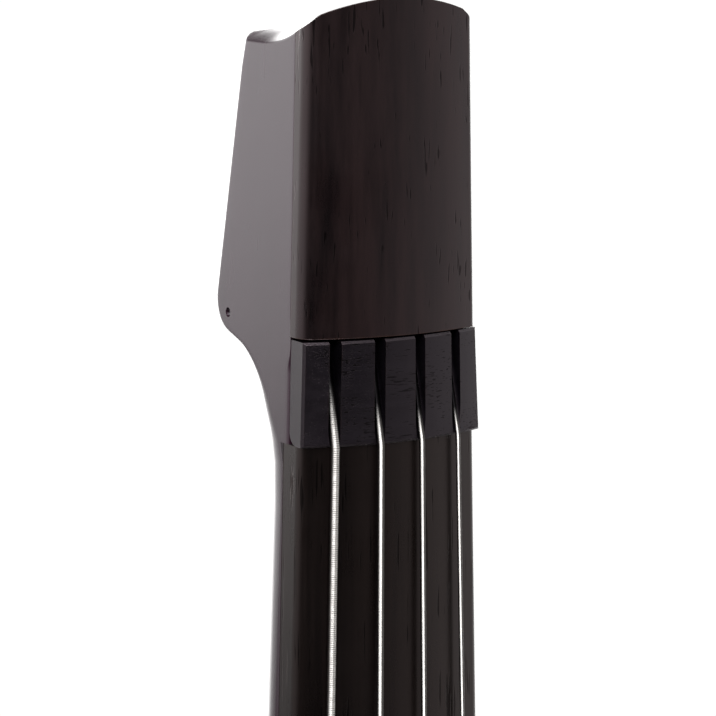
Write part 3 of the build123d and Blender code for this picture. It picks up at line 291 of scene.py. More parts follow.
def block(low: Vector, high: Vector) -> bmesh.types.BMesh:
    """Makes a box.

    Args:
        low: its corner with the smallest coordinates.
        high: its corner with the largest.

    Returns:
        The mesh under work.
    """
    bm = bmesh.new()
    matrix = Matrix.Translation((high + low) / 2) @ Matrix.Diagonal((*(high - low), 1.0))
    bmesh.ops.create_cube(bm, size=1.0, matrix=matrix)
    return bm


def shade_by_angle(bm: bmesh.types.BMesh, sharp_angle: float) -> None:
    """Makes a mesh smooth but for its sharp edges.

    Args:
        bm: the mesh under work.
        sharp_angle: edges that turn by more degrees stay sharp.
    """
    limit = math.radians(sharp_angle)
    for face in bm.faces:
        face.smooth = True
    for edge in bm.edges:
        edge.smooth = len(edge.link_faces) == 2 and edge.calc_face_angle(0.0) < limit


def link(name: str, data: bpy.types.ID) -> bpy.types.Object:
    """Puts a new object into the scene, at the origin.

    Args:
        name: its name.
        data: its mesh, camera or light.

    Returns:
        The object.
    """
    placed = bpy.data.objects.new(name, data)
    bpy.context.scene.collection.objects.link(placed)
    return placed


def to_object(bm: bmesh.types.BMesh, name: str, sharp_angle: float) -> bpy.types.Object:
    """Writes a mesh to an object at the origin, shaded by angle.

    Args:
        bm: the mesh under work, which is freed.
        name: name of the piece.
        sharp_angle: edges that turn by more degrees stay sharp.

    Returns:
        The new object.
    """
    shade_by_angle(bm, sharp_angle)
    mesh = bpy.data.meshes.new(name)
    bm.to_mesh(mesh)
    bm.free()
    return link(name, mesh)


def finish_mesh(bm: bmesh.types.BMesh, name: str,
                sharp_angle: float = SHARP) -> bpy.types.Object:
    """Closes a mesh's work: merges doubles, turns faces outwards and shades by angle.

    Args:
        bm: the mesh under work, which is freed.
        name: name of the piece.
        sharp_angle: edges that turn by more degrees stay sharp.

    Returns:
        The new object, at the origin.
    """
    bmesh.ops.remove_doubles(bm, verts=bm.verts[:], dist=DOUBLES / 2)
    bmesh.ops.recalc_face_normals(bm, faces=bm.faces[:])
    return to_object(bm, name, sharp_angle)


def merged_copy(node: str, flat: float = 0.6) -> bmesh.types.BMesh:
    """Copies a CAD node's mesh, with its loose triangles joined and its flats dissolved.

    Args:
        node: the CAD node.
        flat: faces that turn by fewer degrees become one.

    Returns:
        The mesh under work.
    """
    bm = bmesh.new()
    bm.from_mesh(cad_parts[node].data)
    for layers in (bm.loops.layers.uv, bm.loops.layers.float_vector):
        for layer in list(layers.values()):
            layers.remove(layer)
    bmesh.ops.remove_doubles(bm, verts=bm.verts[:], dist=DOUBLES)
    bmesh.ops.dissolve_limit(bm, angle_limit=math.radians(flat), verts=bm.verts[:],
                             edges=bm.edges[:], use_dissolve_boundaries=False)
    return bm


def soften(piece: bpy.types.Object, width: float = 0.0) -> None:
    """Gives a piece a small live bevel on its sharp edges, with even normals on its flats.

    Args:
        piece: the object.
        width: width of the bevel in millimetres, or 0 for none.
    """
    if width > 0:
        bevel = piece.modifiers.new("edges", "BEVEL")
        bevel.width = width * MM
        bevel.segments = 2
        bevel.limit_method = "ANGLE"
        bevel.angle_limit = math.radians(35.0)
        bevel.use_clamp_overlap = True
        bevel.harden_normals = False
    weighted = piece.modifiers.new("flats", "WEIGHTED_NORMAL")
    weighted.keep_sharp = True


def reshade(piece: bpy.types.Object) -> None:
    """Shades a cut piece again by angle.

    Args:
        piece: the object.
    """
    bm = bmesh.new()
    bm.from_mesh(piece.data)
    shade_by_angle(bm, SHARP)
    bm.to_mesh(piece.data)
    bm.free()
    soften(piece)


class Joinery(Enum):
    """What a tool does to a piece."""

    ADD = "UNION"
    REMOVE = "DIFFERENCE"


def cut(piece: bpy.types.Object, tools: Sequence[bmesh.types.BMesh], joinery: Joinery) -> None:
    """Joins or cuts a piece with closed tools, for good.

    Args:
        piece: the object.
        tools: the closed meshes, which are freed.
        joinery: whether they are added or removed.
    """
    for tool in tools:
        bmesh.ops.recalc_face_normals(tool, faces=tool.faces[:])
        mesh = bpy.data.meshes.new("tool")
        tool.to_mesh(mesh)
        tool.free()
        helper = link("tool", mesh)
        modifier = piece.modifiers.new("cut", "BOOLEAN")
        modifier.operation = joinery.value
        modifier.solver = "EXACT"
        modifier.object = helper
        depsgraph = bpy.context.evaluated_depsgraph_get()
        result = bpy.data.meshes.new_from_object(piece.evaluated_get(depsgraph))
        piece.modifiers.clear()
        old, piece.data = piece.data, result
        result.name = piece.name
        bpy.data.meshes.remove(old)
        bpy.data.objects.remove(helper)
        bpy.data.meshes.remove(mesh)


# ---------------------------------------------------------------- node wiring
class Wiring:
    """Adds and links shader nodes in one tree."""

    def __init__(self, tree: bpy.types.NodeTree) -> None:
        """Keeps the tree."""
        self.tree = tree

    def add(self, kind: str, **settings: object) -> bpy.types.Node:
        """Adds a node.

        Args:
            kind: the node's type.
            **settings: its properties.

        Returns:
            The node.
        """
        node = self.tree.nodes.new(kind)
        for key, value in settings.items():
            setattr(node, key, value)
        return node

    def feed(self, socket: bpy.types.NodeSocket, value: object) -> None:
        """Links a socket to another, or sets its value.

        Args:
            socket: the input.
            value: an output socket, or a plain value.
        """
        if isinstance(value, bpy.types.NodeSocket):
            self.tree.links.new(value, socket)
        else:
            socket.default_value = value

    def fill(self, node: bpy.types.Node, values: Sequence[object]) -> bpy.types.NodeSocket:
        """Feeds a node's live inputs in order.

        Args:
            node: the node.
            values: sockets or plain values.

        Returns:
            The node's first live output.
        """
        for socket, value in zip([s for s in node.inputs if s.enabled], values):
            self.feed(socket, value)
        return next(s for s in node.outputs if s.enabled)

    def math(self, operation: str, first: object, second: object = 0.0) -> bpy.types.NodeSocket:
        """One sum on two values or sockets."""
        return self.fill(self.add("ShaderNodeMath", operation=operation), (first, second))

    def times(self, first: object, second: object) -> bpy.types.NodeSocket:
        """The product of two values or sockets."""
        return self.math("MULTIPLY", first, second)

    def plus(self, first: object, second: object) -> bpy.types.NodeSocket:
        """The sum of two values or sockets."""
        return self.math("ADD", first, second)

    def minus(self, first: object, second: object) -> bpy.types.NodeSocket:
        """The difference of two values or sockets."""
        return self.math("SUBTRACT", first, second)

    def stretch(self, vector: bpy.types.NodeSocket, scale: Sequence[float],
                turn: Sequence[float] = (0.0, 0.0, 0.0)) -> bpy.types.NodeSocket:
        """A Mapping node.

        Args:
            vector: a pattern's coordinates.
            scale: what they are multiplied by.
            turn: the angles that they are turned by first.

        Returns:
            The new coordinates.
        """
        node = self.add("ShaderNodeMapping")
        self.feed(node.inputs["Vector"], vector)
        node.inputs["Scale"].default_value = scale
        node.inputs["Rotation"].default_value = turn
        return node.outputs[0]

    def noise(self, vector: bpy.types.NodeSocket, scale: object, detail: float = 3.0,
              rough: float = 0.5) -> bpy.types.NodeSocket:
        """Noise from 0 to 1.

        Args:
            vector: the coordinates.
            scale: how fine it is.
            detail: how many finer layers it has.
            rough: how strong those are.

        Returns:
            The value.
        """
        node = self.add("ShaderNodeTexNoise")
        self.feed(node.inputs["Vector"], vector)
        self.feed(node.inputs["Scale"], scale)
        node.inputs["Detail"].default_value = detail
        node.inputs["Roughness"].default_value = rough
        return node.outputs["Fac"]

    def ease(self, value: object, low: object, high: object, start: float = 0.0,
             end: float = 1.0) -> bpy.types.NodeSocket:
        """Maps a range smoothly to another and holds the ends.

        Args:
            value: what is mapped.
            low: where the range starts, which may be its upper end.
            high: where it ends.
            start: the result up to low.
            end: the result from high on.

        Returns:
            The result.
        """
        node = self.add("ShaderNodeMapRange", interpolation_type="SMOOTHSTEP")
        return self.fill(node, (value, low, high, start, end))

    def mix(self, share: object, first: object, second: object) -> bpy.types.NodeSocket:
        """Mixes two colours."""
        return self.fill(self.add("ShaderNodeMix", data_type="RGBA"), (share, first, second))

    def blend(self, share: object, first: object, second: object) -> bpy.types.NodeSocket:
        """Mixes two values."""
        return self.fill(self.add("ShaderNodeMix", data_type="FLOAT"), (share, first, second))

    def bump(self, height: bpy.types.NodeSocket, distance: float,
             strength: float) -> bpy.types.NodeSocket:
        """A Bump node.

        Args:
            height: the relief, from 0 to 1.
            distance: how high 1 is, in millimetres.
            strength: how much of it shows.

        Returns:
            The normal.
        """
        node = self.add("ShaderNodeBump")
        node.inputs["Strength"].default_value = strength
        node.inputs["Distance"].default_value = distance * MM
        self.feed(node.inputs["Height"], height)
        return node.outputs[0]


class Effect(Enum):
    """Shader groups that several finishes share."""

    GRAIN = "wood_grain"
    HANDLING = "handling_marks"
    WORN_EDGE = "worn_edge"


def group_tree(effect: Effect, inputs: dict[str, tuple[str, object]],
               outputs: Sequence[str]) -> tuple[Wiring, dict, dict]:
    """Starts a node group with named sockets.

    Args:
        effect: names the group.
        inputs: socket type and first value for each input.
        outputs: names of the value outputs.

    Returns:
        The wiring, the input sockets and the output sockets by name.
    """
    tree = bpy.data.node_groups.new(effect.value, "ShaderNodeTree")
    for name, (kind, value) in inputs.items():
        socket = tree.interface.new_socket(name=name, in_out="INPUT", socket_type=kind)
        if value is not None:
            socket.default_value = value
    for name in outputs:
        tree.interface.new_socket(name=name, in_out="OUTPUT", socket_type="NodeSocketFloat")
    wiring = Wiring(tree)
    start, end = wiring.add("NodeGroupInput"), wiring.add("NodeGroupOutput")
    return wiring, {s.name: s for s in start.outputs}, {s.name: s for s in end.inputs}


def grain_group() -> None:
    """Streaks and open pores that run along the Z axis of the coordinates they are given."""
    w, given, out = group_tree(
        Effect.GRAIN,
        {"Vector": ("NodeSocketVector", None), "Streaks": ("NodeSocketFloat", 420.0),
         "Pores": ("NodeSocketFloat", 1500.0), "Length": ("NodeSocketFloat", 0.08),
         "Open": ("NodeSocketFloat", 0.62)},
        ["Tone", "Pore"],
    )
    flat = w.add("ShaderNodeCombineXYZ")
    w.feed(flat.inputs[0], 1.0)
    w.feed(flat.inputs[1], 1.0)
    w.feed(flat.inputs[2], given["Length"])
    drawn = w.fill(w.add("ShaderNodeVectorMath", operation="MULTIPLY"),
                   (given["Vector"], flat.outputs[0]))
    wide = w.noise(drawn, w.times(given["Streaks"], 0.22), 2.0)
    fine = w.noise(drawn, given["Streaks"], 5.0, 0.62)
    w.feed(out["Tone"], w.ease(w.plus(w.times(wide, 0.5), w.times(fine, 0.5)), 0.3, 0.7))
    cells = w.noise(drawn, given["Pores"], 1.0, 0.4)
    patches = w.noise(given["Vector"], 90.0, 2.0)
    level = w.plus(cells, w.times(w.minus(patches, 0.5), 0.5))
    w.feed(out["Pore"], w.ease(level, given["Open"], w.plus(given["Open"], 0.07)))


def handling_group() -> None:
    """Faint smudges and hairline scratches on a handled surface."""
    w, given, out = group_tree(
        Effect.HANDLING,
        {"Vector": ("NodeSocketVector", None), "Size": ("NodeSocketFloat", 30.0)},
        ["Smudge", "Scratch"],
    )
    w.feed(out["Smudge"], w.ease(w.noise(given["Vector"], given["Size"], 5.0, 0.6), 0.35, 0.75))
    bent = w.stretch(given["Vector"], (1.0, 1.0, 0.06), (0.35, 0.5, 0.2))
    lines = w.noise(bent, w.times(given["Size"], 60.0), 1.0, 0.3)
    w.feed(out["Scratch"], w.ease(lines, 0.72, 0.78))


def worn_edge_group() -> None:
    """A mask that is one on the outer edges of a piece."""
    w, given, out = group_tree(
        Effect.WORN_EDGE,
        {"Vector": ("NodeSocketVector", None), "Width": ("NodeSocketFloat", 0.0006)},
        ["Mask"],
    )
    rounded = w.add("ShaderNodeBevel", samples=4)
    w.feed(rounded.inputs["Radius"], given["Width"])
    plain = w.add("ShaderNodeNewGeometry")
    agreed = w.fill(w.add("ShaderNodeVectorMath", operation="DOT_PRODUCT"),
                    (rounded.outputs[0], plain.outputs["Normal"]))
    broken = w.ease(w.noise(given["Vector"], 220.0, 4.0, 0.6), 0.38, 0.62)
    w.feed(out["Mask"], w.times(w.ease(agreed, 0.995, 0.90), broken))


# ---------------------------------------------------------------- finishes
class Axis(Enum):
    """The direction that a wood's grain runs in, as a turn that brings it to Z."""

    X = (0.0, math.pi / 2, 0.0)
    Z = (0.0, 0.0, 0.0)


def rgba(red: float, green: float, blue: float) -> Colour:
    """A linear colour with full alpha."""
    return red, green, blue, 1.0


def new_material(name: str) -> tuple[Wiring, bpy.types.Node, bpy.types.NodeSocket]:
    """Makes a material with a plain shader.

    Args:
        name: the material's name.

    Returns:
        Its wiring, its shader and its object coordinates.
    """
    material = bpy.data.materials.new(name)
    material.use_nodes = True
    wiring = Wiring(material.node_tree)
    shader = next(n for n in material.node_tree.nodes if n.type == "BSDF_PRINCIPLED")
    return wiring, shader, wiring.add("ShaderNodeTexCoord").outputs["Object"]


@dataclass(frozen=True)
class Finish:
    """What every finish shares.

    Attributes:
        name: the material's name.
        slot: name of a material slot; not used.
    """

    name: str
    slot: str

    @staticmethod
    def effect(wiring: Wiring, effect: Effect, **values: object) -> dict:
        """Places a shared group in a material.

        Args:
            wiring: the material's wiring.
            effect: the group.
            **values: its inputs by name.

        Returns:
            Its outputs by name.
        """
        node = wiring.add("ShaderNodeGroup", node_tree=bpy.data.node_groups[effect.value])
        for name, value in values.items():
            wiring.feed(node.inputs[name], value)
        return {s.name: s for s in node.outputs}

    def wire(self, wiring: Wiring, shader: bpy.types.Node,
             place: bpy.types.NodeSocket) -> None:
        """Fills the material; each finish has its own.

        Args:
            wiring: the material's wiring.
            shader: its shader.
            place: its object coordinates.
        """
        raise NotImplementedError

    def material(self) -> bpy.types.Material:
        """Gives the finish as a material, made once.

        Returns:
            The material.
        """
        if self.name not in bpy.data.materials:
            self.wire(*new_material(self.name))
        return bpy.data.materials[self.name]


@dataclass(frozen=True)
class Lacquer(Finish):
    """Polished dark lacquer with a hint of the wood below it.

    Attributes:
        deep: its colour over dark streaks of the wood.
        warm: its colour over pale streaks.
        rough: its roughness where it is clean.
        ripple: height of its soft ripple in millimetres.
        sheen: tint of its gloss.
    """

    deep: Colour = rgba(0.0125, 0.0030, 0.0080)
    warm: Colour = rgba(0.0210, 0.0060, 0.0140)
    rough: float = 0.2
    ripple: float = 0.03
    sheen: Colour = rgba(1.0, 0.87, 0.965)

    def wire(self, wiring: Wiring, shader: bpy.types.Node,
             place: bpy.types.NodeSocket) -> None:
        """Grain under the colour, handling marks in the gloss and a soft ripple.

        Args:
            wiring: the material's wiring.
            shader: its shader.
            place: its object coordinates.
        """
        grain = self.effect(wiring, Effect.GRAIN, Vector=place, Streaks=260.0, Length=0.05)
        marks = self.effect(wiring, Effect.HANDLING, Vector=place, Size=24.0)
        wiring.feed(shader.inputs["Base Color"], wiring.mix(grain["Tone"], self.deep, self.warm))
        rough = wiring.plus(self.rough, wiring.times(marks["Smudge"], 0.05))
        rough = wiring.plus(rough, wiring.times(marks["Scratch"], 0.06))
        wiring.feed(shader.inputs["Roughness"], rough)
        relief = wiring.noise(place, 95.0, 2.0)
        wiring.feed(shader.inputs["Normal"], wiring.bump(relief, self.ripple, 1.0))
        shader.inputs["IOR"].default_value = 1.5
        shader.inputs["Specular Tint"].default_value = self.sheen
        shader.inputs["Coat Weight"].default_value = 0.25
        shader.inputs["Coat Roughness"].default_value = 0.08


@dataclass(frozen=True)
class OiledWood(Finish):
    """Oiled or polished dark wood with open pores.

    Attributes:
        dark: colour of its dark streaks.
        light: colour of its light streaks.
        bare: colour of its worn edges.
        pore: colour of its pores.
        hollow: how little light leaves a pore.
        axis: the direction of its grain.
        rough: its roughness where it is clean.
        streaks: how fine its streaks are.
        pores: how fine its pores are.
        stretch: how short streaks and pores are along the grain.
        open: how few pores are open.
        depth: depth of the pores in millimetres.
        edge: how worn its edges are.
        index: refractive index of its oil.
        sheen: tint of its gloss.
    """

    dark: Colour = rgba(0.0012, 0.0008, 0.0010)
    light: Colour = rgba(0.0074, 0.0036, 0.0036)
    bare: Colour = rgba(0.09, 0.035, 0.014)
    pore: Colour = rgba(0.001, 0.0008, 0.0008)
    hollow: float = 0.5
    axis: Axis = Axis.Z
    rough: float = 0.30
    streaks: float = 420.0
    pores: float = 1500.0
    stretch: float = 0.11
    open: float = 0.67
    depth: float = 0.08
    edge: float = 0.1
    index: float = 1.46
    sheen: Colour = rgba(1.0, 0.78, 0.82)

    def wire(self, wiring: Wiring, shader: bpy.types.Node,
             place: bpy.types.NodeSocket) -> None:
        """Streaks and pores in colour, gloss and relief, and warmer worn edges.

        Args:
            wiring: the material's wiring.
            shader: its shader.
            place: its object coordinates.
        """
        turned = wiring.stretch(place, (1.0, 1.0, 1.0), self.axis.value)
        grain = self.effect(wiring, Effect.GRAIN, Vector=turned, Streaks=self.streaks,
                            Pores=self.pores, Length=self.stretch, Open=self.open)
        marks = self.effect(wiring, Effect.HANDLING, Vector=place, Size=40.0)
        worn = self.effect(wiring, Effect.WORN_EDGE, Vector=place)
        wood = wiring.mix(grain["Tone"], self.dark, self.light)
        wood = wiring.mix(wiring.times(grain["Pore"], 0.7), wood, self.pore)
        wood = wiring.mix(wiring.times(worn["Mask"], self.edge), wood, self.bare)
        wiring.feed(shader.inputs["Base Color"], wood)
        wiring.feed(shader.inputs["Metallic"], wiring.times(grain["Pore"], self.hollow))
        rough = wiring.minus(self.rough, wiring.times(marks["Smudge"], 0.07))
        rough = wiring.plus(rough, wiring.times(grain["Tone"], 0.08))
        wiring.feed(shader.inputs["Roughness"], rough)
        relief = wiring.minus(wiring.times(grain["Tone"], 0.25), grain["Pore"])
        wiring.feed(shader.inputs["Normal"], wiring.bump(relief, self.depth, 0.35))
        shader.inputs["IOR"].default_value = self.index
        shader.inputs["Specular Tint"].default_value = self.sheen


@dataclass(frozen=True)
class PaleWood(OiledWood):
    """Oiled maple with a fine even grain."""

    dark: Colour = rgba(0.36, 0.19, 0.085)
    light: Colour = rgba(0.58, 0.36, 0.18)
    bare: Colour = rgba(0.40, 0.22, 0.10)
    pore: Colour = rgba(0.20, 0.10, 0.045)
    hollow: float = 0.0
    rough: float = 0.38
    streaks: float = 700.0
    pores: float = 2200.0
    depth: float = 0.03
    edge: float = 0.5
    index: float = 1.5
    sheen: Colour = rgba(1.0, 1.0, 1.0)


@dataclass(frozen=True)
class Metal(Finish):
    """Bare or plated metal, brushed upwards.

    Attributes:
        colour: its colour where it is clean.
        tarnish: its colour where it is handled.
        rough: its roughness where it is clean.
        brushed: how much its brush lines roughen it.
    """

    colour: Colour = rgba(0.44, 0.44, 0.45)
    tarnish: Colour = rgba(0.30, 0.29, 0.28)
    rough: float = 0.28
    brushed: float = 0.05

    def wire(self, wiring: Wiring, shader: bpy.types.Node,
             place: bpy.types.NodeSocket) -> None:
        """Brush lines, handling marks and a little tarnish.

        Args:
            wiring: the material's wiring.
            shader: its shader.
            place: its object coordinates.
        """
        marks = self.effect(wiring, Effect.HANDLING, Vector=place, Size=70.0)
        lines = wiring.noise(wiring.stretch(place, (1.0, 1.0, 0.05)), 5200.0, 3.0, 0.6)
        dull = wiring.times(marks["Smudge"], 0.45)
        wiring.feed(shader.inputs["Base Color"], wiring.mix(dull, self.colour, self.tarnish))
        rough = wiring.plus(self.rough, wiring.times(marks["Smudge"], 0.12))
        rough = wiring.plus(rough, wiring.times(lines, self.brushed))
        wiring.feed(shader.inputs["Roughness"], rough)
        wiring.feed(shader.inputs["Normal"], wiring.bump(lines, 0.004, 0.5))
        shader.inputs["Metallic"].default_value = 1.0


@dataclass(frozen=True)
class WoundString(Finish):
    """A steel string wound with fine wire, and its silk near the tuning post.

    Attributes:
        pitch: the winding's pitch in metres.
        silk_from: length along the string where its silk starts, in metres.
        slot_end: length along the string where its slot in the nut ends, in metres.
        slot_dark: length of string that gets painted shade in the slot, in metres.
        ticks: how dark the painted shade in the grooves between its turns is.
        seam: how dark the painted shade line along its front is.
        flank: how dark the painted shade on its treble side is.
        colour: its steel outside the painted shade.
        silk: its silk.
        painted_shade: the painted shade in its grooves, along its front line, on its treble side
            and on its back.
        slot_shade: painted shade on the string where it lies in the nut's slot.
    """

    pitch: float
    silk_from: float
    slot_end: float
    slot_dark: float
    ticks: float
    seam: float
    flank: float
    colour: Colour = rgba(0.93, 0.90, 0.87)
    silk: Colour = rgba(0.05, 0.012, 0.016)
    painted_shade: Colour = rgba(0.05, 0.04, 0.038)
    slot_shade: Colour = rgba(0.012, 0.011, 0.012)

    def wire(self, wiring: Wiring, shader: bpy.types.Node,
             place: bpy.types.NodeSocket) -> None:
        """Painted shade in its grooves, front line, treble side, back and slot, and a gloss spread
        along it.

        Args:
            wiring: the material's wiring.
            shader: its shader.
            place: its object coordinates.
        """
        along = wiring.add("ShaderNodeAttribute", attribute_name="along").outputs["Fac"]
        normal = wiring.add("ShaderNodeTexCoord").outputs["Normal"]
        facing = wiring.add("ShaderNodeSeparateXYZ")
        wiring.feed(facing.inputs[0], normal)
        treble, back = facing.outputs["X"], facing.outputs["Y"]
        # painted shade in the grooves between the winding's turns, broken up by noise
        turns = wiring.math("SINE", wiring.times(along, 2 * math.pi / self.pitch))
        rib = wiring.plus(wiring.times(turns, 0.5), 0.5)
        uneven = wiring.ease(wiring.noise(place, 420.0, 3.0, 0.7), 0.34, 0.54)
        groove = wiring.times(wiring.ease(rib, 0.5, 0.05), uneven)
        # a painted shade line down the front, which splits the highlight in two
        seam = wiring.ease(wiring.math("ABSOLUTE", wiring.plus(treble, 0.5)), 0.20, 0.07)
        ticks = wiring.times(groove, wiring.blend(seam, self.ticks * 0.5, self.ticks))
        front = wiring.math("MAXIMUM", ticks, wiring.times(seam, self.seam))
        # painted shade on the treble side, which narrows the highlight
        flank = wiring.times(wiring.ease(treble, -0.32, 0.02), self.flank)
        # painted shade on the sides and the back, wherever the string turns away from the front
        behind = wiring.times(wiring.ease(wiring.times(back, -1.0), 0.58, 0.40), 0.9)
        steel = self.colour
        # the painted shade colour goes over the steel under each of these masks
        for share in (front, flank, behind):
            steel = wiring.mix(share, steel, self.painted_shade)
        # painted shade on the string where it lies in the nut's slot
        slot = wiring.ease(along, self.slot_end, self.slot_end - self.slot_dark)
        steel = wiring.mix(slot, steel, self.slot_shade)
        wrapped = wiring.math("GREATER_THAN", along, self.silk_from)
        wiring.feed(shader.inputs["Base Color"], wiring.mix(wrapped, steel, self.silk))
        wiring.feed(shader.inputs["Metallic"], wiring.minus(1.0, wrapped))
        wiring.feed(shader.inputs["Roughness"], wiring.blend(wrapped, 0.6, 0.8))
        shader.inputs["Anisotropic"].default_value = 0.95
        upright = wiring.add("ShaderNodeCombineXYZ")
        upright.inputs["Z"].default_value = 1.0
        wiring.feed(shader.inputs["Tangent"], upright.outputs[0])


@dataclass(frozen=True)
class Coated(Finish):
    """Powder coat, cast metal or moulded plastic with a fine texture.

    Attributes:
        colour: its colour where it is clean.
        worn: its colour on rubbed edges.
        rough: its roughness where it is clean.
        texture: how fine its pebbles are.
        depth: their height in millimetres.
        edge: how rubbed its edges are.
    """

    colour: Colour = rgba(0.018, 0.018, 0.020)
    worn: Colour = rgba(0.10, 0.10, 0.105)
    rough: float = 0.45
    texture: float = 1600.0
    depth: float = 0.02
    edge: float = 0.5

    def wire(self, wiring: Wiring, shader: bpy.types.Node,
             place: bpy.types.NodeSocket) -> None:
        """A pebbled skin with rubbed edges and smudges.

        Args:
            wiring: the material's wiring.
            shader: its shader.
            place: its object coordinates.
        """
        marks = self.effect(wiring, Effect.HANDLING, Vector=place, Size=26.0)
        edge = self.effect(wiring, Effect.WORN_EDGE, Vector=place)
        skin = wiring.noise(place, self.texture, 2.0, 0.5)
        shade = wiring.mix(wiring.times(marks["Smudge"], 0.3), self.colour, self.worn)
        shade = wiring.mix(wiring.times(edge["Mask"], self.edge), shade, self.worn)
        wiring.feed(shader.inputs["Base Color"], shade)
        rough = wiring.plus(self.rough, wiring.times(marks["Smudge"], -0.08))
        rough = wiring.plus(rough, wiring.times(skin, 0.08))
        wiring.feed(shader.inputs["Roughness"], rough)
        wiring.feed(shader.inputs["Normal"], wiring.bump(skin, self.depth, 0.7))


class Shelf:
    """The finishes of this bass, by what they cover."""

    lacquer = Lacquer("black_lacquer", "lacquered_wood")
    cover = OiledWood("cover_rosewood", "dark_wood", index=1.51)
    board = OiledWood("board_ebony", "ebony", dark=rgba(0.0012, 0.0009, 0.0009),
                      light=rgba(0.0040, 0.0024, 0.0020), rough=0.28, stretch=0.04,
                      sheen=rgba(1.0, 0.80, 0.79))
    nut = OiledWood("nut_ebony", "ebony", dark=rgba(0.0006, 0.0004, 0.0010),
                    light=rgba(0.0018, 0.0014, 0.0026), axis=Axis.X, rough=0.34, pores=3600.0,
                    stretch=0.09, open=0.61, depth=0.05, edge=0.03, index=1.5,
                    sheen=rgba(1.0, 0.82, 0.92))
    maple = PaleWood("bridge_maple", "maple")
    silver = Metal("plated_nickel", "nickel", colour=rgba(0.50, 0.49, 0.47),
                   tarnish=rgba(0.30, 0.29, 0.27), rough=0.22)
    steel = Metal("turned_steel", "steel")
    zinc = Metal("zinc_screws", "zinc", colour=rgba(0.48, 0.48, 0.50), rough=0.3)
    brass = Metal("satin_brass", "brass", colour=rgba(0.68, 0.48, 0.20),
                  tarnish=rgba(0.36, 0.22, 0.08), rough=0.3)
    tube = Coated("stand_powder_coat", "black_steel")
    cast = Coated("cast_black", "black_cast", colour=rgba(0.026, 0.026, 0.029),
                  texture=900.0, depth=0.05, rough=0.5)
    rubber = Coated("foot_rubber", "rubber", colour=rgba(0.012, 0.012, 0.012),
                    worn=rgba(0.05, 0.048, 0.045), rough=0.75, texture=2400.0, depth=0.03)
    plastic = Coated("moulded_plastic", "black_plastic", colour=rgba(0.013, 0.013, 0.015),
                     rough=0.4, texture=2800.0, depth=0.008, edge=0.2)
    circuit = Coated("circuit_green", "circuit", colour=rgba(0.012, 0.085, 0.03),
                     worn=rgba(0.03, 0.14, 0.05), rough=0.35, depth=0.005)


def dress(piece: bpy.types.Object, finish: Finish, body: str,
          replaced: Sequence[str] = ()) -> bpy.types.Object:
    """Gives a new piece its finish and its body, and reports it.

    Args:
        piece: the finished object.
        finish: its surface.
        body: the CAD body that it moves with.
        replaced: the CAD nodes that it stands for.

    Returns:
        The piece.
    """
    piece.data.materials.clear()
    piece.data.materials.append(finish.material())
    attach(piece, body)
    if replaced:
        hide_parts(*replaced)
    LOG.info("%s: %d faces, %s, on %s", piece.name, len(piece.data.polygons), finish.name, body)
    return piece


def refine(node: str, finish: Finish, body: str, bevel: float = 0.0,
           name: str | None = None) -> bpy.types.Object:
    """Stands a cleaned and softened copy in for a CAD node.

    Args:
        node: the CAD node.
        finish: its surface.
        body: the CAD body that it moves with.
        bevel: width of the bevel on its sharp edges, in millimetres.
        name: name of the piece, or the node's with a suffix.

    Returns:
        The new piece.
    """
    piece = to_object(merged_copy(node), name or node + "_made", SHARP_CAD)
    soften(piece, bevel)
    return dress(piece, finish, body, [node])


def coat(node: str, finish: Finish) -> None:
    """Gives a CAD node that stays a better material.

    Args:
        node: the CAD node.
        finish: its surface.
    """
    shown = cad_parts[node]
    if not shown.material_slots:
        shown.data.materials.append(None)
    for slot in shown.material_slots:
        slot.material = finish.material()
    LOG.info("%s: %s", node, finish.name)


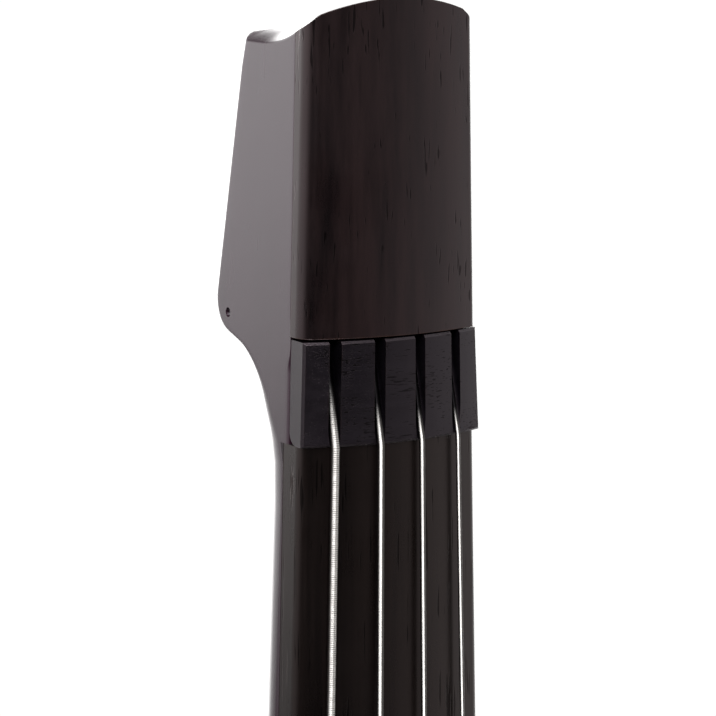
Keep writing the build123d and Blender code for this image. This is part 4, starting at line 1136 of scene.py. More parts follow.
# ---------------------------------------------------------------- head, neck and board
@dataclass
class HeadAndNeck:
    """Neck, head, cover, nut and fingerboard, in millimetres of the instrument.

    Attributes:
        neck_half: half width of the neck at the lower end of the nut.
        taper: how much the half width falls per millimetre of height.
        head_seat: depth of the head's flat front.
        board_seat: depth of the neck's flat front under the fingerboard.
        head_top: height of the head's top at its back.
        rim_height: height that the head's rim is drawn at before it is carved.
        side_top: height of the last plain ring of the head.
        back_top: depth of the head's back at its top.
        back_slope: how fast the head's back runs backwards on the way down.
        chin_height: height of the chin, where the head's back ends.
        throat: depth and height where the chin's slope meets the neck.
        neck_back: depth and height where the neck's back starts.
        neck_swell: how fast the neck's back runs backwards on the way down.
        heel_start: height where the neck's back turns into the heel.
        heel_end: height where the heel reaches the body.
        heel_low: height of the heel's lower end.
        body_front: depth of the body's front.
        bends: radii of the back's bends, from the chin down.
        corner_head: radius between the sides and the back on the head.
        corner_neck: the same radius on the neck.
        corner_heel: the same radius on the heel.
        corner_runs: heights over which it changes below the chin and above the heel.
        front_arc: radius of the arch of cover and board at the nut.
        nut_arris: rounding of the joint edge beside the nut.
        gap_arris: rounding of that edge at the gap above the nut.
        seam_arris: rounding of that edge along the cover.
        neck_arris: rounding of that edge below the nut.
        gap: heights where the rounding starts to end and starts again.
        gap_runs: how far it takes to end and to start.
        arch_radius: radius of the head's top from side to side.
        end_start: distance from the middle where the top falls off more.
        end_run: width over which it falls off.
        end_fall: how far it falls off.
        crown: height of the top at the front.
        top_slope: how fast the top falls backwards.
        top_rear: height of the top at the back.
        top_blend: radius of the hollow curve in the top.
        top_shares: sizes of the top's inner rings.
        rim_round: rounding of the edge between the sides and the top.
        cavity: corners of the string cavity under the cover.
        channel: corners of the rod's channel.
        side_hole: ends of the small hole in the side.
        hole_radius: its radius.
        tenon: corners of the tenon under the heel.
        cover_low: height of the cover's lower end.
        cover_rings: heights of the cover's plain rings.
        cover_tilt: how much lower that end lies on one side than on the other.
        cover_edge: radii of its left and right front edges.
        cover_proud: how far it stands over the head on each side.
        cover_rim: rounding of its upper edge.
        seat_clear: distance from the seat where that rounding starts.
        cover_lip: rounding of its lower edge.
        hollow_half: half width of the hollow under the cover.
        hollow_top: height where that hollow ends.
        hollow_back: depth that it is cut to.
        hollow_round: radius of its edges.
        shell: thickness of the cover's arch.
        board_length: length of the fingerboard.
        board_half: its half width at the nut.
        board_end_arc: radius of its arch at the lower end.
        board_flare: how much wider its underside is on each side.
        board_edge: radii of its left and right front edges.
        board_lip: rounding of its lower end.
        nut_edge: width of the bevel on the nut.
        anchor_edge: width of the bevel on the string anchor.
        screw_edge: width of the bevel on the screws.
    """

    neck_half: float = 22.3
    taper: float = 0.02375
    head_seat: float = 9.0
    board_seat: float = 11.5
    head_top: float = 97.0
    rim_height: float = 88.0
    side_top: float = 82.0
    back_top: float = 32.5
    back_slope: float = 0.195
    chin_height: float = 22.9
    throat: Pair = (28.5, 17.2)
    neck_back: Pair = (27.1, -14.0)
    neck_swell: float = 0.021
    heel_start: float = -590.0
    heel_end: float = -655.0
    heel_low: float = -790.0
    body_front: float = 45.0
    bends: tuple[float, ...] = (7.5, 11.0, 60.0, 60.0, 60.0)
    corner_head: float = 3.0
    corner_neck: float = 15.0
    corner_heel: float = 5.0
    corner_runs: tuple[Pair, Pair] = ((23.9, -6.1), (-580.0, -655.0))
    front_arc: float = 57.1
    nut_arris: float = 1.3
    gap_arris: float = 0.15
    seam_arris: float = 0.6
    neck_arris: float = 0.02
    gap: Pair = (16.0, 25.0)
    gap_runs: Pair = (5.0, 3.0)
    arch_radius: float = 80.0
    end_start: float = 17.2
    end_run: float = 3.4
    end_fall: float = 1.0
    crown: float = 96.2
    top_slope: float = 0.37
    top_rear: float = 89.35
    top_blend: float = 33.0
    top_shares: tuple[float, ...] = (0.93, 0.82, 0.68, 0.52, 0.36, 0.2, 0.06)
    rim_round: float = 0.45
    cavity: Box = ((-17.5, 8.0, 27.0), (17.5, 22.0, 76.0))
    channel: Box = ((-4.0, 8.0, -620.0), (4.0, 20.5, 28.0))
    side_hole: Box = ((-26.0, 38.1, 25.0), (-19.5, 38.1, 25.0))
    hole_radius: float = 1.1
    tenon: Box = ((-26.0, 40.0, -790.0), (26.0, 60.0, -675.0))
    cover_low: float = 23.4
    cover_rings: tuple[float, ...] = (35.0, 50.0, 65.0, 78.0)
    cover_tilt: float = 0.4
    cover_edge: Pair = (4.0, 2.0)
    cover_proud: float = 0.15
    cover_rim: float = 0.55
    seat_clear: float = 0.1
    cover_lip: float = 0.12
    hollow_half: float = 17.5
    hollow_top: float = 76.0
    hollow_back: float = 10.0
    hollow_round: float = 1.0
    shell: float = 2.6
    board_length: float = 880.0
    board_half: float = 22.1
    board_end_arc: float = 115.0
    board_flare: float = 0.15
    board_edge: Pair = (3.0, 3.0)
    board_lip: float = 0.8
    nut_edge: float = 0.1
    anchor_edge: float = 0.2
    screw_edge: float = 0.1

    def half(self, height: float) -> float:
        """Half width of the neck and head at a height."""
        return self.neck_half - self.taper * height

    def corner(self, height: float) -> float:
        """Radius between the sides and the back: small on the head, full on the neck.

        Args:
            height: height of the ring.

        Returns:
            The radius.
        """
        below_chin, above_heel = (smoothstep((start - height) / (start - end))
                                  for start, end in self.corner_runs)
        upper = lerp(self.corner_head, self.corner_neck, below_chin)
        return upper - (self.corner_neck - self.corner_heel) * above_heel

    def head_line(self, height: float) -> float:
        """Depth of the head's flat back at a height."""
        return self.back_top + self.back_slope * (self.head_top - height)

    def back_line(self) -> list[Vector]:
        """Draws the back of head, chin, throat, neck and heel.

        Returns:
            Its (depth, height) points from the top down.
        """
        heel_depth = self.neck_back[0] + self.neck_swell * (self.neck_back[1] - self.heel_start)
        corners = [Vector((self.back_top, self.head_top)),
                   Vector((self.head_line(self.chin_height), self.chin_height)),
                   Vector(self.throat), Vector(self.neck_back),
                   Vector((heel_depth, self.heel_start)),
                   Vector((self.body_front, self.heel_end)),
                   Vector((self.body_front, self.heel_low))]
        return spaced(filleted(corners, self.bends, steps=14), longest=9.0)

    def arris(self, height: float) -> float:
        """Rounding of the joint edge: wide beside the nut, almost none at the gap above it.

        Args:
            height: height of the ring.

        Returns:
            The radius.
        """
        if height < 0.0:
            return self.neck_arris
        (start, end), (ending, starting) = self.gap, self.gap_runs
        if height < end:
            return lerp(self.nut_arris, self.gap_arris, smoothstep((height - start) / ending))
        return lerp(self.gap_arris, self.seam_arris, smoothstep((height - end) / starting))

    def section(self, back: float, height: float, seat: float) -> Ring:
        """One ring of the neck: front, side, round corner, back and the other side.

        Args:
            back: depth of the back at this height.
            height: height of the ring.
            seat: depth of the flat front.

        Returns:
            The ring's points in the frame.
        """
        half, corner, arris = self.half(height), self.corner(height), self.arris(height)
        low = max(back - corner, self.board_seat)
        front = [(x, seat) for x in spread(arris - half, half - arris, count=10)[1:-1]]
        turn = [(math.sin(a), 1 - math.cos(a)) for a in spread(0.0, math.pi / 2, count=5)]
        edge = [(half - arris + arris * s, seat + arris * c) for s, c in turn]
        side = [(half, depth) for depth in spread(self.board_seat, low, count=9)[:-1]]
        arc = [(math.cos(a), math.sin(a)) for a in spread(0.0, math.pi / 2, count=10)]
        bend = [(half - corner + corner * c, low + (back - low) * s) for c, s in arc]
        right = edge + side + bend
        middle = [(x, back) for x in spread(half - corner, corner - half, count=6)[1:-1]]
        left = [(-x, depth) for x, depth in reversed(right)]
        return [DATUM.at(x, depth, height) for x, depth in front + right + middle + left]

    def top_height(self, x: float, depth: float) -> float:
        """Height of the carved top, an arch that runs down a hollow curve to the back.

        Args:
            x: sideways place.
            depth: depth of the place.

        Returns:
            The height.
        """
        fall = sagitta(self.arch_radius, x) \
            + self.end_fall * smoothstep((abs(x) - self.end_start) / self.end_run)
        angle = math.atan(self.top_slope)
        turn_end = (self.crown - self.top_rear) / self.top_slope \
            + self.top_blend * math.tan(angle / 2)
        radius = self.top_blend + fall
        if depth >= turn_end:
            return self.top_rear - fall
        if depth <= turn_end - radius * math.sin(angle):
            return self.crown - self.top_slope * depth - fall / math.cos(angle)
        return self.top_rear + self.top_blend - math.sqrt(radius**2 - (turn_end - depth) ** 2)

    def carve(self, ring: Ring) -> Ring:
        """Drops a ring onto the carved top.

        Args:
            ring: its points in the frame.

        Returns:
            The points on the top.
        """
        result = []
        for point in ring:
            local = (point - DATUM.origin) / MM
            result.append(DATUM.at(local.x, local.y, self.top_height(local.x, local.y)))
        return result

    def close_top(self, bm: bmesh.types.BMesh, rim: Ring,
                  ring: list[bmesh.types.BMVert]) -> list[bmesh.types.BMVert]:
        """Skins the carved top inside its rim.

        Args:
            bm: the mesh under work.
            rim: the rim's points.
            ring: the last ring of the side, which becomes the rim.

        Returns:
            The rim's vertices.
        """
        outer = next_ring(bm, ring, rim)
        middle = sum(rim, Vector()) / len(rim)
        last = outer
        for share in self.top_shares:
            inner = [Vector((lerp(middle.x, p.x, share), lerp(middle.y, p.y, share), p.z))
                     for p in rim]
            last = next_ring(bm, last, self.carve(inner))
        bm.faces.new(last)
        return outer

    def neck(self) -> bpy.types.Object:
        """Builds head and neck in one piece of lacquered wood, with the pockets in it.

        Returns:
            The piece.
        """
        bm = bmesh.new()
        line = [p for p in reversed(self.back_line()) if p.y < self.side_top]
        rings = [self.section(p.x, p.y, self.board_seat) for p in line if p.y <= 0]
        rings += [self.section(self.back_at_zero(), 0.0, seat)
                  for seat in (self.board_seat, self.head_seat)]
        rings += [self.section(p.x, p.y, self.head_seat) for p in line if p.y > 0]
        skins = loft(bm, rings, caps=(True, False))
        back = self.head_line(self.rim_height)
        rim_points = self.carve(self.section(back, self.rim_height, self.head_seat))
        rim = self.close_top(bm, rim_points, skins[-1])
        round_edges(bm, ring_edges(rim), self.rim_round, segments=3)
        piece = finish_mesh(bm, "neck_wood")
        cut(piece, self.pockets(), Joinery.REMOVE)
        cut(piece, [self.block(self.tenon)], Joinery.ADD)
        reshade(piece)
        return dress(piece, Shelf.lacquer, "instrument", ["neck"])

    def back_at_zero(self) -> float:
        """Finds the depth of the back at the lower end of the nut.

        Returns:
            The depth.
        """
        line = self.back_line()
        above, below = next((a, b) for a, b in zip(line, line[1:]) if a.y >= 0 > b.y)
        return lerp(above.x, below.x, above.y / (above.y - below.y))

    @staticmethod
    def block(corners: Box) -> bmesh.types.BMesh:
        """A box between two corners given in instrument millimetres."""
        return block(*(DATUM.at(*corner) for corner in corners))

    def pockets(self) -> list[bmesh.types.BMesh]:
        """Makes the tools for the string cavity, the rod's channel and the side's small hole.

        Returns:
            The closed meshes.
        """
        hole = bmesh.new()
        tube(hole, [DATUM.at(*end) for end in self.side_hole], self.hole_radius * MM, 24)
        return [self.block(self.cavity), self.block(self.channel), hole]

    @staticmethod
    def front_outline(half: float, arc: float, edges: Pair, back: float, flare: float = 0.0,
                      crown: float = 0.0, clear: float = 0.2) -> list[Pair]:
        """Arched front with rounded edges, straight sides and a flat back.

        Args:
            half: half width where the arch would meet the sides.
            arc: radius of the arch.
            edges: radii of the left and right front edges.
            back: depth of the back.
            flare: how much wider the back is on each side.
            crown: depth of the crown.
            clear: distance from the round edges to the arch's first and last points.

        Returns:
            (x, depth) points, starting at the left of the front.
        """
        drop = crown + sagitta(arc, half)
        lean = math.asin(half / arc)
        along = Vector((math.cos(lean), -math.sin(lean)))
        corners, starts = [], []
        for edge in edges:
            knee = Vector((-half, drop))
            bend = filleted([Vector((-half, back)), knee, knee + along * edge * 2], [edge],
                            steps=8)
            corners.append(bend[1:-1])
            reach = edge * math.tan((math.pi / 2 - lean) / 2)
            starts.append(-half + reach * math.cos(lean) + clear)
        front = [(x, crown + sagitta(arc, x)) for x in spread(starts[0], -starts[1], count=28)]
        right = [(-p.x, p.y) for p in reversed(corners[1])]
        base = [(x, back) for x in spread(half + flare, -half - flare, count=7)]
        return [(p.x, p.y) for p in corners[0]] + front + right + base

    def cover_ring(self, height: float) -> Ring:
        """Draws one ring of the cover.

        Args:
            height: height of the ring.

        Returns:
            Its points in the frame.
        """
        outline = self.front_outline(self.half(height) + self.cover_proud, self.front_arc,
                                     self.cover_edge, self.head_seat)
        return [DATUM.at(x, depth, height) for x, depth in outline]

    def cover(self) -> bpy.types.Object:
        """Builds the thin wooden cover of the head, hollow under its arch.

        Returns:
            The piece.
        """
        bm = bmesh.new()
        rings = [self.cover_ring(height) for height in (self.cover_low, *self.cover_rings)]
        # the joint is wider at the bass end
        for point in rings[0]:
            point.z -= self.cover_tilt * point.x / (2 * self.half(0.0))
        skins = loft(bm, rings, caps=(True, False))
        rim = self.close_top(bm, self.carve(self.cover_ring(self.rim_height)), skins[-1])
        # the rim is rounded in front of the seat only
        limit = DATUM.at(0.0, self.head_seat - self.seat_clear, 0.0).y
        exposed = [e for e in ring_edges(rim) if all(v.co.y < limit for v in e.verts)]
        round_edges(bm, exposed, self.cover_rim, segments=4)
        round_edges(bm, ring_edges(skins[0]), self.cover_lip, segments=2)
        piece = finish_mesh(bm, "cover_shell")
        outline = self.front_outline(self.hollow_half, self.front_arc - self.shell,
                                     (self.hollow_round, self.hollow_round), self.hollow_back,
                                     crown=self.shell)
        # the hollow is open at the lower end
        hollow = bmesh.new()
        loft(hollow, [[DATUM.at(x, depth, height) for x, depth in outline]
                      for height in (self.cover_low - 1.0, self.hollow_top)])
        cut(piece, [hollow], Joinery.REMOVE)
        reshade(piece)
        return dress(piece, Shelf.cover, "instrument", ["head_cover"])

    def board(self) -> bpy.types.Object:
        """Builds the fingerboard, flatter and wider towards the bridge.

        Returns:
            The piece.
        """
        upper = self.front_outline(self.board_half, self.front_arc, self.board_edge,
                                   self.board_seat, self.board_flare)
        lower = self.front_outline(self.board_half + self.taper * self.board_length,
                                   self.board_end_arc, self.board_edge, self.board_seat,
                                   self.board_flare)
        # the arch passes straight from the upper arc to the lower one
        rings = [[DATUM.at(lerp(a[0], b[0], share), lerp(a[1], b[1], share),
                           -self.board_length * share) for a, b in zip(upper, lower)]
                 for share in spread(0.0, 1.0, count=40)]
        bm = bmesh.new()
        skins = loft(bm, rings)
        round_edges(bm, ring_edges(skins[-1]), self.board_lip, segments=2)
        piece = finish_mesh(bm, "board_wood")
        soften(piece)
        return dress(piece, Shelf.board, "instrument", ["fingerboard"])

    def build(self) -> None:
        """Builds the sub-assembly."""
        self.neck()
        self.cover()
        self.board()
        refine("nut", Shelf.nut, "instrument", self.nut_edge, "nut_wood")
        refine("string_anchor", Shelf.brass, "instrument", self.anchor_edge)
        refine("anchor_screws", Shelf.zinc, "instrument", self.screw_edge)
        refine("cover_screws", Shelf.zinc, "instrument", self.screw_edge)
        coat("truss_rod", Shelf.steel)
        coat("head_pin", Shelf.steel)


# ---------------------------------------------------------------- strings
@dataclass
class StringSet:
    """The four strings from their ball ends to the tuning posts, in millimetres.

    Attributes:
        scale: length between nut and bridge.
        gap_nut: distance between neighbours at the nut.
        gap_bridge: distance between neighbours at the bridge.
        above_nut: height of a string over the arch at the nut.
        above_bridge: height of a string over the bridge's arch.
        dive: how fast a string falls back above the nut.
        front_arc: radius of the arch at the nut.
        bridge_crown: depth of the bridge's crown.
        bridge_arc: radius of the bridge's arch.
        ball_height: height of the anchor's front.
        ball_radius: radius of a ball end.
        ball_waist: radius of its waist, as a share.
        ball_length: length of a ball end.
        ball_rim: length of each of its rims.
        ball_clear: distance from the anchor to a ball end.
        post_radius: radius of a tuning post.
        post_clear: distance from the post to the string's turns.
        post_outer: sideways place and height of the outer posts.
        post_inner: sideways place and height of the inner posts.
        post_depth: depth where a string meets its post.
        bends: radii of a string's bends at the nut and at the bridge.
        coil_turns: turns round the post.
        coil_steps: points in each turn.
        coil_clear: distance between turns.
        silk_length: length of the silk.
        gauges: each string's diameter.
        pitches: the pitch of each string's winding.
        marks: how dark the painted shade in its grooves, along its front line and on its treble
            side is.
        slot_darks: how much of it gets painted shade in the nut's slot.
    """

    scale: float = 1060.0
    gap_nut: float = 10.3
    gap_bridge: float = 26.0
    above_nut: float = 1.5
    above_bridge: float = 0.5
    dive: float = 0.236
    front_arc: float = 57.1
    bridge_crown: float = -9.0
    bridge_arc: float = 105.0
    ball_height: float = 64.0
    ball_radius: float = 3.0
    ball_waist: float = 0.8
    ball_length: float = 6.0
    ball_rim: float = 1.5
    ball_clear: float = 0.1
    post_radius: float = 4.0
    post_clear: float = 0.3
    post_outer: Pair = (37.0, -1197.0)
    post_inner: Pair = (17.0, -1246.0)
    post_depth: float = 30.0
    bends: Pair = (5.0, 7.0)
    coil_turns: int = 3
    coil_steps: int = 28
    coil_clear: float = 0.15
    silk_length: float = 150.0
    gauges: dict[str, float] = field(
        default_factory=lambda: {"e": 1.95, "a": 1.6, "d": 1.32, "g": 1.05})
    pitches: dict[str, float] = field(
        default_factory=lambda: {"e": 0.47, "a": 0.36, "d": 0.30, "g": 0.24})
    marks: dict[str, tuple[float, float, float]] = field(
        default_factory=lambda: {"e": (1.0, 0.3, 0.0), "a": (0.2, 0.0, 0.85),
                                 "d": (0.1, 0.0, 0.85), "g": (0.05, 0.0, 0.85)})
    slot_darks: dict[str, float] = field(
        default_factory=lambda: {"e": 15.0, "a": 9.5, "d": 7.5, "g": 6.5})

    def sideways(self, index: int, height: float) -> float:
        """Sideways place of a string at a height."""
        gap = self.gap_nut - (self.gap_bridge - self.gap_nut) * height / self.scale
        return (index - (len(self.gauges) - 1) / 2) * gap

    def corners(self, index: int, gauge: float) -> tuple[list[Vector], float]:
        """Finds where a string bends.

        Args:
            index: 0 for the lowest string.
            gauge: its diameter.

        Returns:
            Its ball, nut, bridge and post points, and the sideways place of its post.
        """
        x = self.sideways(index, 0.0)
        depth = sagitta(self.front_arc, x) - self.above_nut
        high = self.ball_height + self.ball_clear + self.ball_radius * self.dive
        start = Vector((self.sideways(index, high), depth + self.dive * high, high))
        side = 1 if index > 1 else -1
        outer = index in (0, len(self.gauges) - 1)
        wrap = self.post_radius + self.post_clear + gauge / 2
        post_x, post_z = self.post_outer if outer else self.post_inner
        tangent_x = side * (post_x + wrap if outer else post_x - wrap)
        bridge_x = self.sideways(index, -self.scale)
        over = self.bridge_crown + sagitta(self.bridge_arc, bridge_x) - self.above_bridge
        points = [start, Vector((x, depth, 0.0)), Vector((bridge_x, over, -self.scale)),
                  Vector((tangent_x, self.post_depth, post_z))]
        return points, side * post_x

    def coil(self, post_x: float, start: Vector, gauge: float) -> list[Vector]:
        """Turns round the post, starting where the string touches it.

        Args:
            post_x: sideways place of the post.
            start: where the string touches it.
            gauge: the string's diameter.

        Returns:
            The points after the start.
        """
        arm = start.x - post_x
        pitch = gauge + self.coil_clear
        points = []
        for step in range(1, self.coil_steps * self.coil_turns + 1):
            angle = 2 * math.pi * step / self.coil_steps
            points.append(Vector((post_x + arm * math.cos(angle),
                                  start.y + pitch * step / self.coil_steps,
                                  start.z - abs(arm) * math.sin(angle))))
        return points

    def ball(self) -> list[Pair]:
        """Draws a ball end, a spool with two rims.

        Returns:
            Its (radius, distance) corners in metres.
        """
        rim, waist, length = self.ball_radius, self.ball_radius * self.ball_waist, self.ball_length
        corners = [(0.0, 0.0), (rim, 0.0), (waist, self.ball_rim),
                   (waist, length - self.ball_rim), (rim, length), (0.0, length)]
        return [(r * MM, d * MM) for r, d in corners]

    def string(self, index: int, name: str, gauge: float) -> bpy.types.Object:
        """Builds one string with its ball.

        Args:
            index: 0 for the lowest string.
            name: its letter.
            gauge: its diameter.

        Returns:
            The piece.
        """
        points, post_x = self.corners(index, gauge)
        path = filleted(points, self.bends, steps=6)
        path += self.coil(post_x, points[-1], gauge)
        path = [DATUM.at(*p) for p in spaced(path, longest=40.0)]
        length = sum((b - a).length for a, b in zip(path, path[1:]))
        bm = bmesh.new()
        tube(bm, path, gauge / 2 * MM, segments=20)
        away = points[0] - points[1]
        lathe(bm, self.ball(), DATUM.at(*points[0]), away, segments=24)
        piece = finish_mesh(bm, "string_wound_" + name, sharp_angle=40.0)
        ticks, seam, flank = self.marks[name]
        finish = WoundString("wound_" + name, "string_steel", pitch=self.pitches[name] * MM,
                             silk_from=length - self.silk_length * MM,
                             slot_end=away.length * MM, slot_dark=self.slot_darks[name] * MM,
                             ticks=ticks, seam=seam, flank=flank)
        return dress(piece, finish, "instrument", ["string_" + name])

    def build(self) -> None:
        """Builds the four strings."""
        for index, (name, gauge) in enumerate(self.gauges.items()):
            self.string(index, name, gauge)


# ---------------------------------------------------------------- body and its fittings
@dataclass
class BodyAndBridge:
    """The small body, the bridge on its wheels and what is screwed to them.

    Attributes:
        body_edge: width of the bevel on the body, in millimetres.
        bridge_edge: the same on the bridge.
        feet_edge: the same on its feet.
        wheel_edge: the same on its wheels.
        cover_edge: the same on the cover of the controls.
        screw_edge: the same on its screws.
        plate_edge: the same on the stand's plate.
        bolt_edge: the same on that plate's screws.
        nut_edge: the same on the nut of the tilt knob.
    """

    body_edge: float = 0.3
    bridge_edge: float = 0.4
    feet_edge: float = 0.3
    wheel_edge: float = 0.2
    cover_edge: float = 0.4
    screw_edge: float = 0.1
    plate_edge: float = 0.6
    bolt_edge: float = 0.25
    nut_edge: float = 0.4

    def build(self) -> None:
        """Dresses the pieces."""
        on = "instrument"
        refine("body", Shelf.lacquer, on, self.body_edge, "body_wood")
        refine("bridge", Shelf.maple, on, self.bridge_edge, "bridge_wood")
        refine("bridge_feet", Shelf.maple, on, self.feet_edge)
        coat("piezo_plates", Shelf.brass)
        for side in ("left", "right"):
            refine("bridge_wheel_" + side, Shelf.brass, "bridge_wheel_" + side, self.wheel_edge)
        refine("control_cover", Shelf.plastic, on, self.cover_edge)
        refine("cover_plate_screws", Shelf.zinc, on, self.screw_edge)
        refine("stand_plate", Shelf.cast, on, self.plate_edge)
        refine("plate_screws", Shelf.zinc, on, self.bolt_edge)
        refine("tilt_nut", Shelf.zinc, on, self.nut_edge)
        coat("neck_bolts", Shelf.zinc)


@dataclass
class TuningMachines:
    """Open-geared machines behind the tail, one for each string.

    Attributes:
        strings: the strings' letters.
        plate_edge: width of the bevel on the plates, in millimetres.
        screw_edge: the same on their screws.
        bushing_edge: the same on the bushings.
        post_edge: the same on the posts.
        key_edge: the same on the keys.
    """

    strings: tuple[str, ...] = ("e", "a", "d", "g")
    plate_edge: float = 0.25
    screw_edge: float = 0.1
    bushing_edge: float = 0.2
    post_edge: float = 0.12
    key_edge: float = 0.3

    def build(self) -> None:
        """Dresses plates, posts and keys."""
        for side in ("left", "right"):
            refine("tuner_plate_" + side, Shelf.silver, "instrument", self.plate_edge)
        refine("tuner_screws", Shelf.zinc, "instrument", self.screw_edge)
        refine("post_bushings", Shelf.silver, "instrument", self.bushing_edge)
        for name in self.strings:
            refine("tuner_post_" + name, Shelf.brass, "tuner_post_" + name, self.post_edge)
            refine("tuner_key_" + name, Shelf.silver, "tuner_key_" + name, self.key_edge)


@dataclass
class Controls:
    """Knobs, switch, jack and the electronics in their cavity.

    Attributes:
        knob_edge: width of the bevel on the knobs, in millimetres.
        switch_edge: the same on the switch's body.
        jack_edge: the same on the jack.
    """

    knob_edge: float = 0.25
    switch_edge: float = 0.15
    jack_edge: float = 0.2

    def build(self) -> None:
        """Dresses the controls."""
        for name in ("volume", "tone"):
            refine(name + "_knob", Shelf.plastic, name + "_knob", self.knob_edge)
        refine("switch_lever", Shelf.silver, "switch_lever")
        refine("switch_body", Shelf.silver, "instrument", self.switch_edge)
        refine("output_jack", Shelf.silver, "instrument", self.jack_edge)
        coat("potentiometers", Shelf.zinc)
        coat("preamp_board", Shelf.circuit)
        coat("battery", Shelf.plastic)


@dataclass
class Stand:
    """The folding tripod with its sliding mast and tilting head.

    Attributes:
        legs: the legs' names.
        tube_edge: width of the bevel on mast and legs, in millimetres.
        cap_edge: the same on the mast's cap.
        hub_edge: the same on the hub of the legs.
        collar_edge: the same on the clamp's collar and on the pins.
        head_edge: the same on the tilting head.
        knob_edge: the same on the knobs.
        foot_edge: the same on the feet.
    """

    legs: tuple[str, ...] = ("front", "right", "left")
    tube_edge: float = 0.3
    cap_edge: float = 0.6
    hub_edge: float = 0.5
    collar_edge: float = 0.4
    head_edge: float = 0.6
    knob_edge: float = 0.6
    foot_edge: float = 0.8

    def build(self) -> None:
        """Dresses the stand."""
        refine("mast_outer", Shelf.tube, "stand_base", self.tube_edge)
        refine("mast_cap", Shelf.rubber, "stand_base", self.cap_edge)
        refine("leg_hub", Shelf.cast, "stand_base", self.hub_edge)
        refine("clamp_collar", Shelf.cast, "stand_base", self.collar_edge)
        refine("leg_pins", Shelf.zinc, "stand_base", self.collar_edge)
        refine("mast_inner", Shelf.steel, "mast", self.tube_edge)
        refine("tilt_head", Shelf.cast, "mast", self.head_edge)
        refine("tilt_knob", Shelf.plastic, "tilt_knob", self.knob_edge)
        refine("height_knob", Shelf.plastic, "height_knob", self.knob_edge)
        for leg in self.legs:
            refine("leg_" + leg, Shelf.tube, "leg_" + leg, self.tube_edge)
            refine("foot_" + leg, Shelf.rubber, "leg_" + leg, self.foot_edge)


# ---------------------------------------------------------------- studio
@dataclass(frozen=True)
class Lamp:
    """One large soft panel that no camera sees, in metres of the frame.

    Attributes:
        name: its name.
        place: where it hangs.
        aim: where it points.
        size: its width.
        power: its power in watts.
    """

    name: str
    place: Vector
    aim: Vector
    size: float
    power: float

    def hang(self) -> None:
        """Puts the lamp into the scene."""
        data = bpy.data.lights.new(self.name, "AREA")
        data.shape, data.size, data.energy = "DISK", self.size, self.power
        lamp = link(self.name, data)
        lamp.location = self.place
        lamp.rotation_euler = (self.aim - self.place).to_track_quat("-Z", "Y").to_euler()
        lamp.visible_camera = False


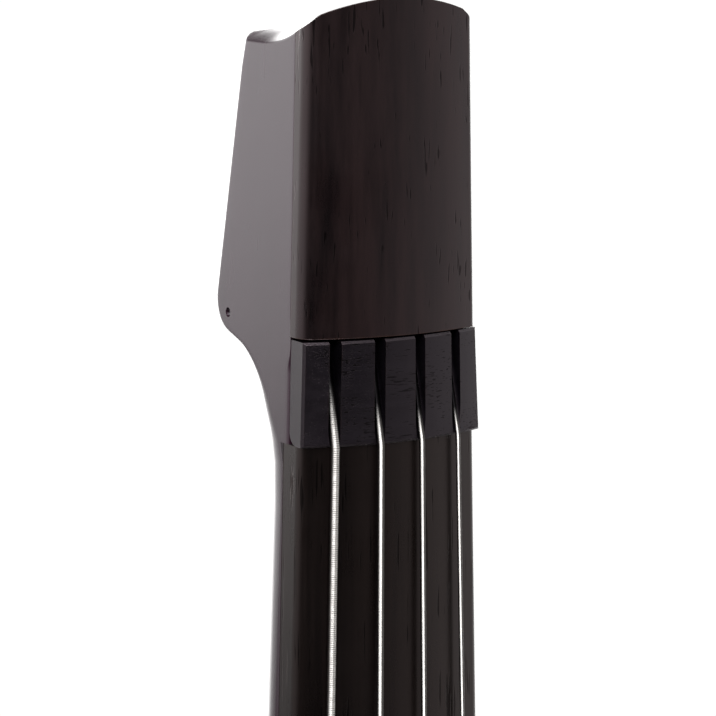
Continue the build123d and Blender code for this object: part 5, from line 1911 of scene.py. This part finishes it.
@dataclass
class Studio:
    """Pale floor, soft light and the camera.

    Attributes:
        lens: focal length in millimetres.
        sensor: width of the camera's sensor in millimetres.
        yaw: how far the camera looks to the right, in degrees.
        pitch: how far it looks down, in degrees.
        distance: distance from the camera to its target in millimetres.
        target: the target in millimetres of the instrument.
        floor_radius: radius of the floor in metres.
        floor_clear: distance in metres from where the floor fades out.
        papers: the floor's two tones.
        lamps: what lights the bass besides the room.
    """

    lens: float = 170.2
    sensor: float = 36.0
    yaw: float = 29.82
    pitch: float = 9.70
    distance: float = 726.85
    target: tuple[float, float, float] = (-10.22, 0.0, 19.34)
    floor_radius: float = 3.6
    floor_clear: float = 2.0
    papers: tuple[Colour, Colour] = (rgba(0.70, 0.70, 0.695), rgba(0.74, 0.74, 0.735))
    lamps: tuple[Lamp, ...] = (
        Lamp("key", Vector((-1.0, -1.7, 3.9)), Vector((0.0, 0.0, 1.3)), 2.2, 95.0),
        Lamp("near", Vector((-0.45, -0.78, 2.6)), DATUM.origin, 1.5, 17.0),
    )

    def camera(self) -> None:
        """Places the camera to the left of the strings, a little above the nut."""
        yaw, pitch = math.radians(self.yaw), math.radians(self.pitch)
        look = Vector((math.sin(yaw) * math.cos(pitch), math.cos(yaw) * math.cos(pitch),
                       -math.sin(pitch)))
        data = bpy.data.cameras.new("camera")
        data.lens, data.sensor_width = self.lens, self.sensor
        data.clip_start, data.clip_end = 0.05, 100.0
        camera = link("camera", data)
        camera.location = DATUM.at(*self.target) - look * self.distance * MM
        camera.rotation_euler = look.to_track_quat("-Z", "Y").to_euler()
        bpy.context.scene.camera = camera

    def floor(self) -> None:
        """A round pale floor that fades out before its rim."""
        bm = bmesh.new()
        bmesh.ops.create_circle(bm, cap_ends=True, segments=128, radius=self.floor_radius)
        mesh = bpy.data.meshes.new("floor")
        bm.to_mesh(mesh)
        bm.free()
        floor = link("floor", mesh)
        wiring, shader, place = new_material("floor_paper")
        tone = wiring.noise(place, 3.0, 3.0)
        wiring.feed(shader.inputs["Base Color"], wiring.mix(tone, *self.papers))
        reach = wiring.fill(wiring.add("ShaderNodeVectorMath", operation="LENGTH"), [place])
        wiring.feed(shader.inputs["Alpha"], wiring.ease(
            reach, self.floor_clear, self.floor_radius * 0.98, 1.0, 0.0))
        shader.inputs["Roughness"].default_value = 0.9
        shader.inputs["Specular IOR Level"].default_value = 0.1
        mesh.materials.append(bpy.data.materials["floor_paper"])

    def world(self) -> None:
        """White behind the bass, bright low backdrop at its back and a dim room in front."""
        world = bpy.data.worlds.new("studio")
        bpy.context.scene.world = world
        world.use_nodes = True
        world.node_tree.nodes.clear()
        w = Wiring(world.node_tree)
        split = w.add("ShaderNodeSeparateXYZ")
        w.feed(split.inputs[0], w.add("ShaderNodeTexCoord").outputs["Generated"])
        east, north, up = split.outputs
        # the backdrop is bright near the floor, and brightest behind the bass to the right
        far = w.plus(w.times(north, 0.86), w.times(east, 0.5))
        glow = w.times(w.ease(far, 0.6, 0.98, 0.0, 3.5), w.ease(up, 0.45, 0.15))
        backdrop = w.plus(w.ease(up, -0.28, -0.04, 0.12, 1.95), glow)
        back = w.times(backdrop, w.ease(up, 0.05, 0.5, 1.0, 0.12))
        # the room in front is lit from above and from the right
        right = w.math("POWER", w.math("MAXIMUM", east, 0.0), 1.4)
        front = w.plus(w.ease(up, 0.3, 0.7, 0.0, 0.4), w.times(right, 0.9))
        around = w.ease(w.minus(north, w.times(east, 0.45)), -0.25, 0.55)
        strength = w.blend(around, front, back)
        camera_ray = w.add("ShaderNodeLightPath").outputs["Is Camera Ray"]
        background = w.add("ShaderNodeBackground")
        background.inputs["Color"].default_value = rgba(1.0, 1.0, 0.99)
        w.feed(background.inputs["Strength"], w.blend(camera_ray, strength, 1.05))
        output = w.add("ShaderNodeOutputWorld")
        w.feed(output.inputs["Surface"], background.outputs[0])

    def build(self) -> None:
        """Sets the stage."""
        self.camera()
        self.floor()
        self.world()
        for lamp in self.lamps:
            lamp.hang()
        bpy.context.scene.view_settings.view_transform = "Standard"


def main() -> None:
    """Builds the shared effects, every sub-assembly and the studio."""
    logging.basicConfig(level=logging.INFO, format="%(name)s %(message)s")
    for make in (grain_group, handling_group, worn_edge_group):
        make()
    for assembly in (HeadAndNeck(), StringSet(), BodyAndBridge(), TuningMachines(), Controls(),
                     Stand(), Studio()):
        assembly.build()
        LOG.info("%s is built", type(assembly).__name__)


if __name__ == "__main__":
    main()
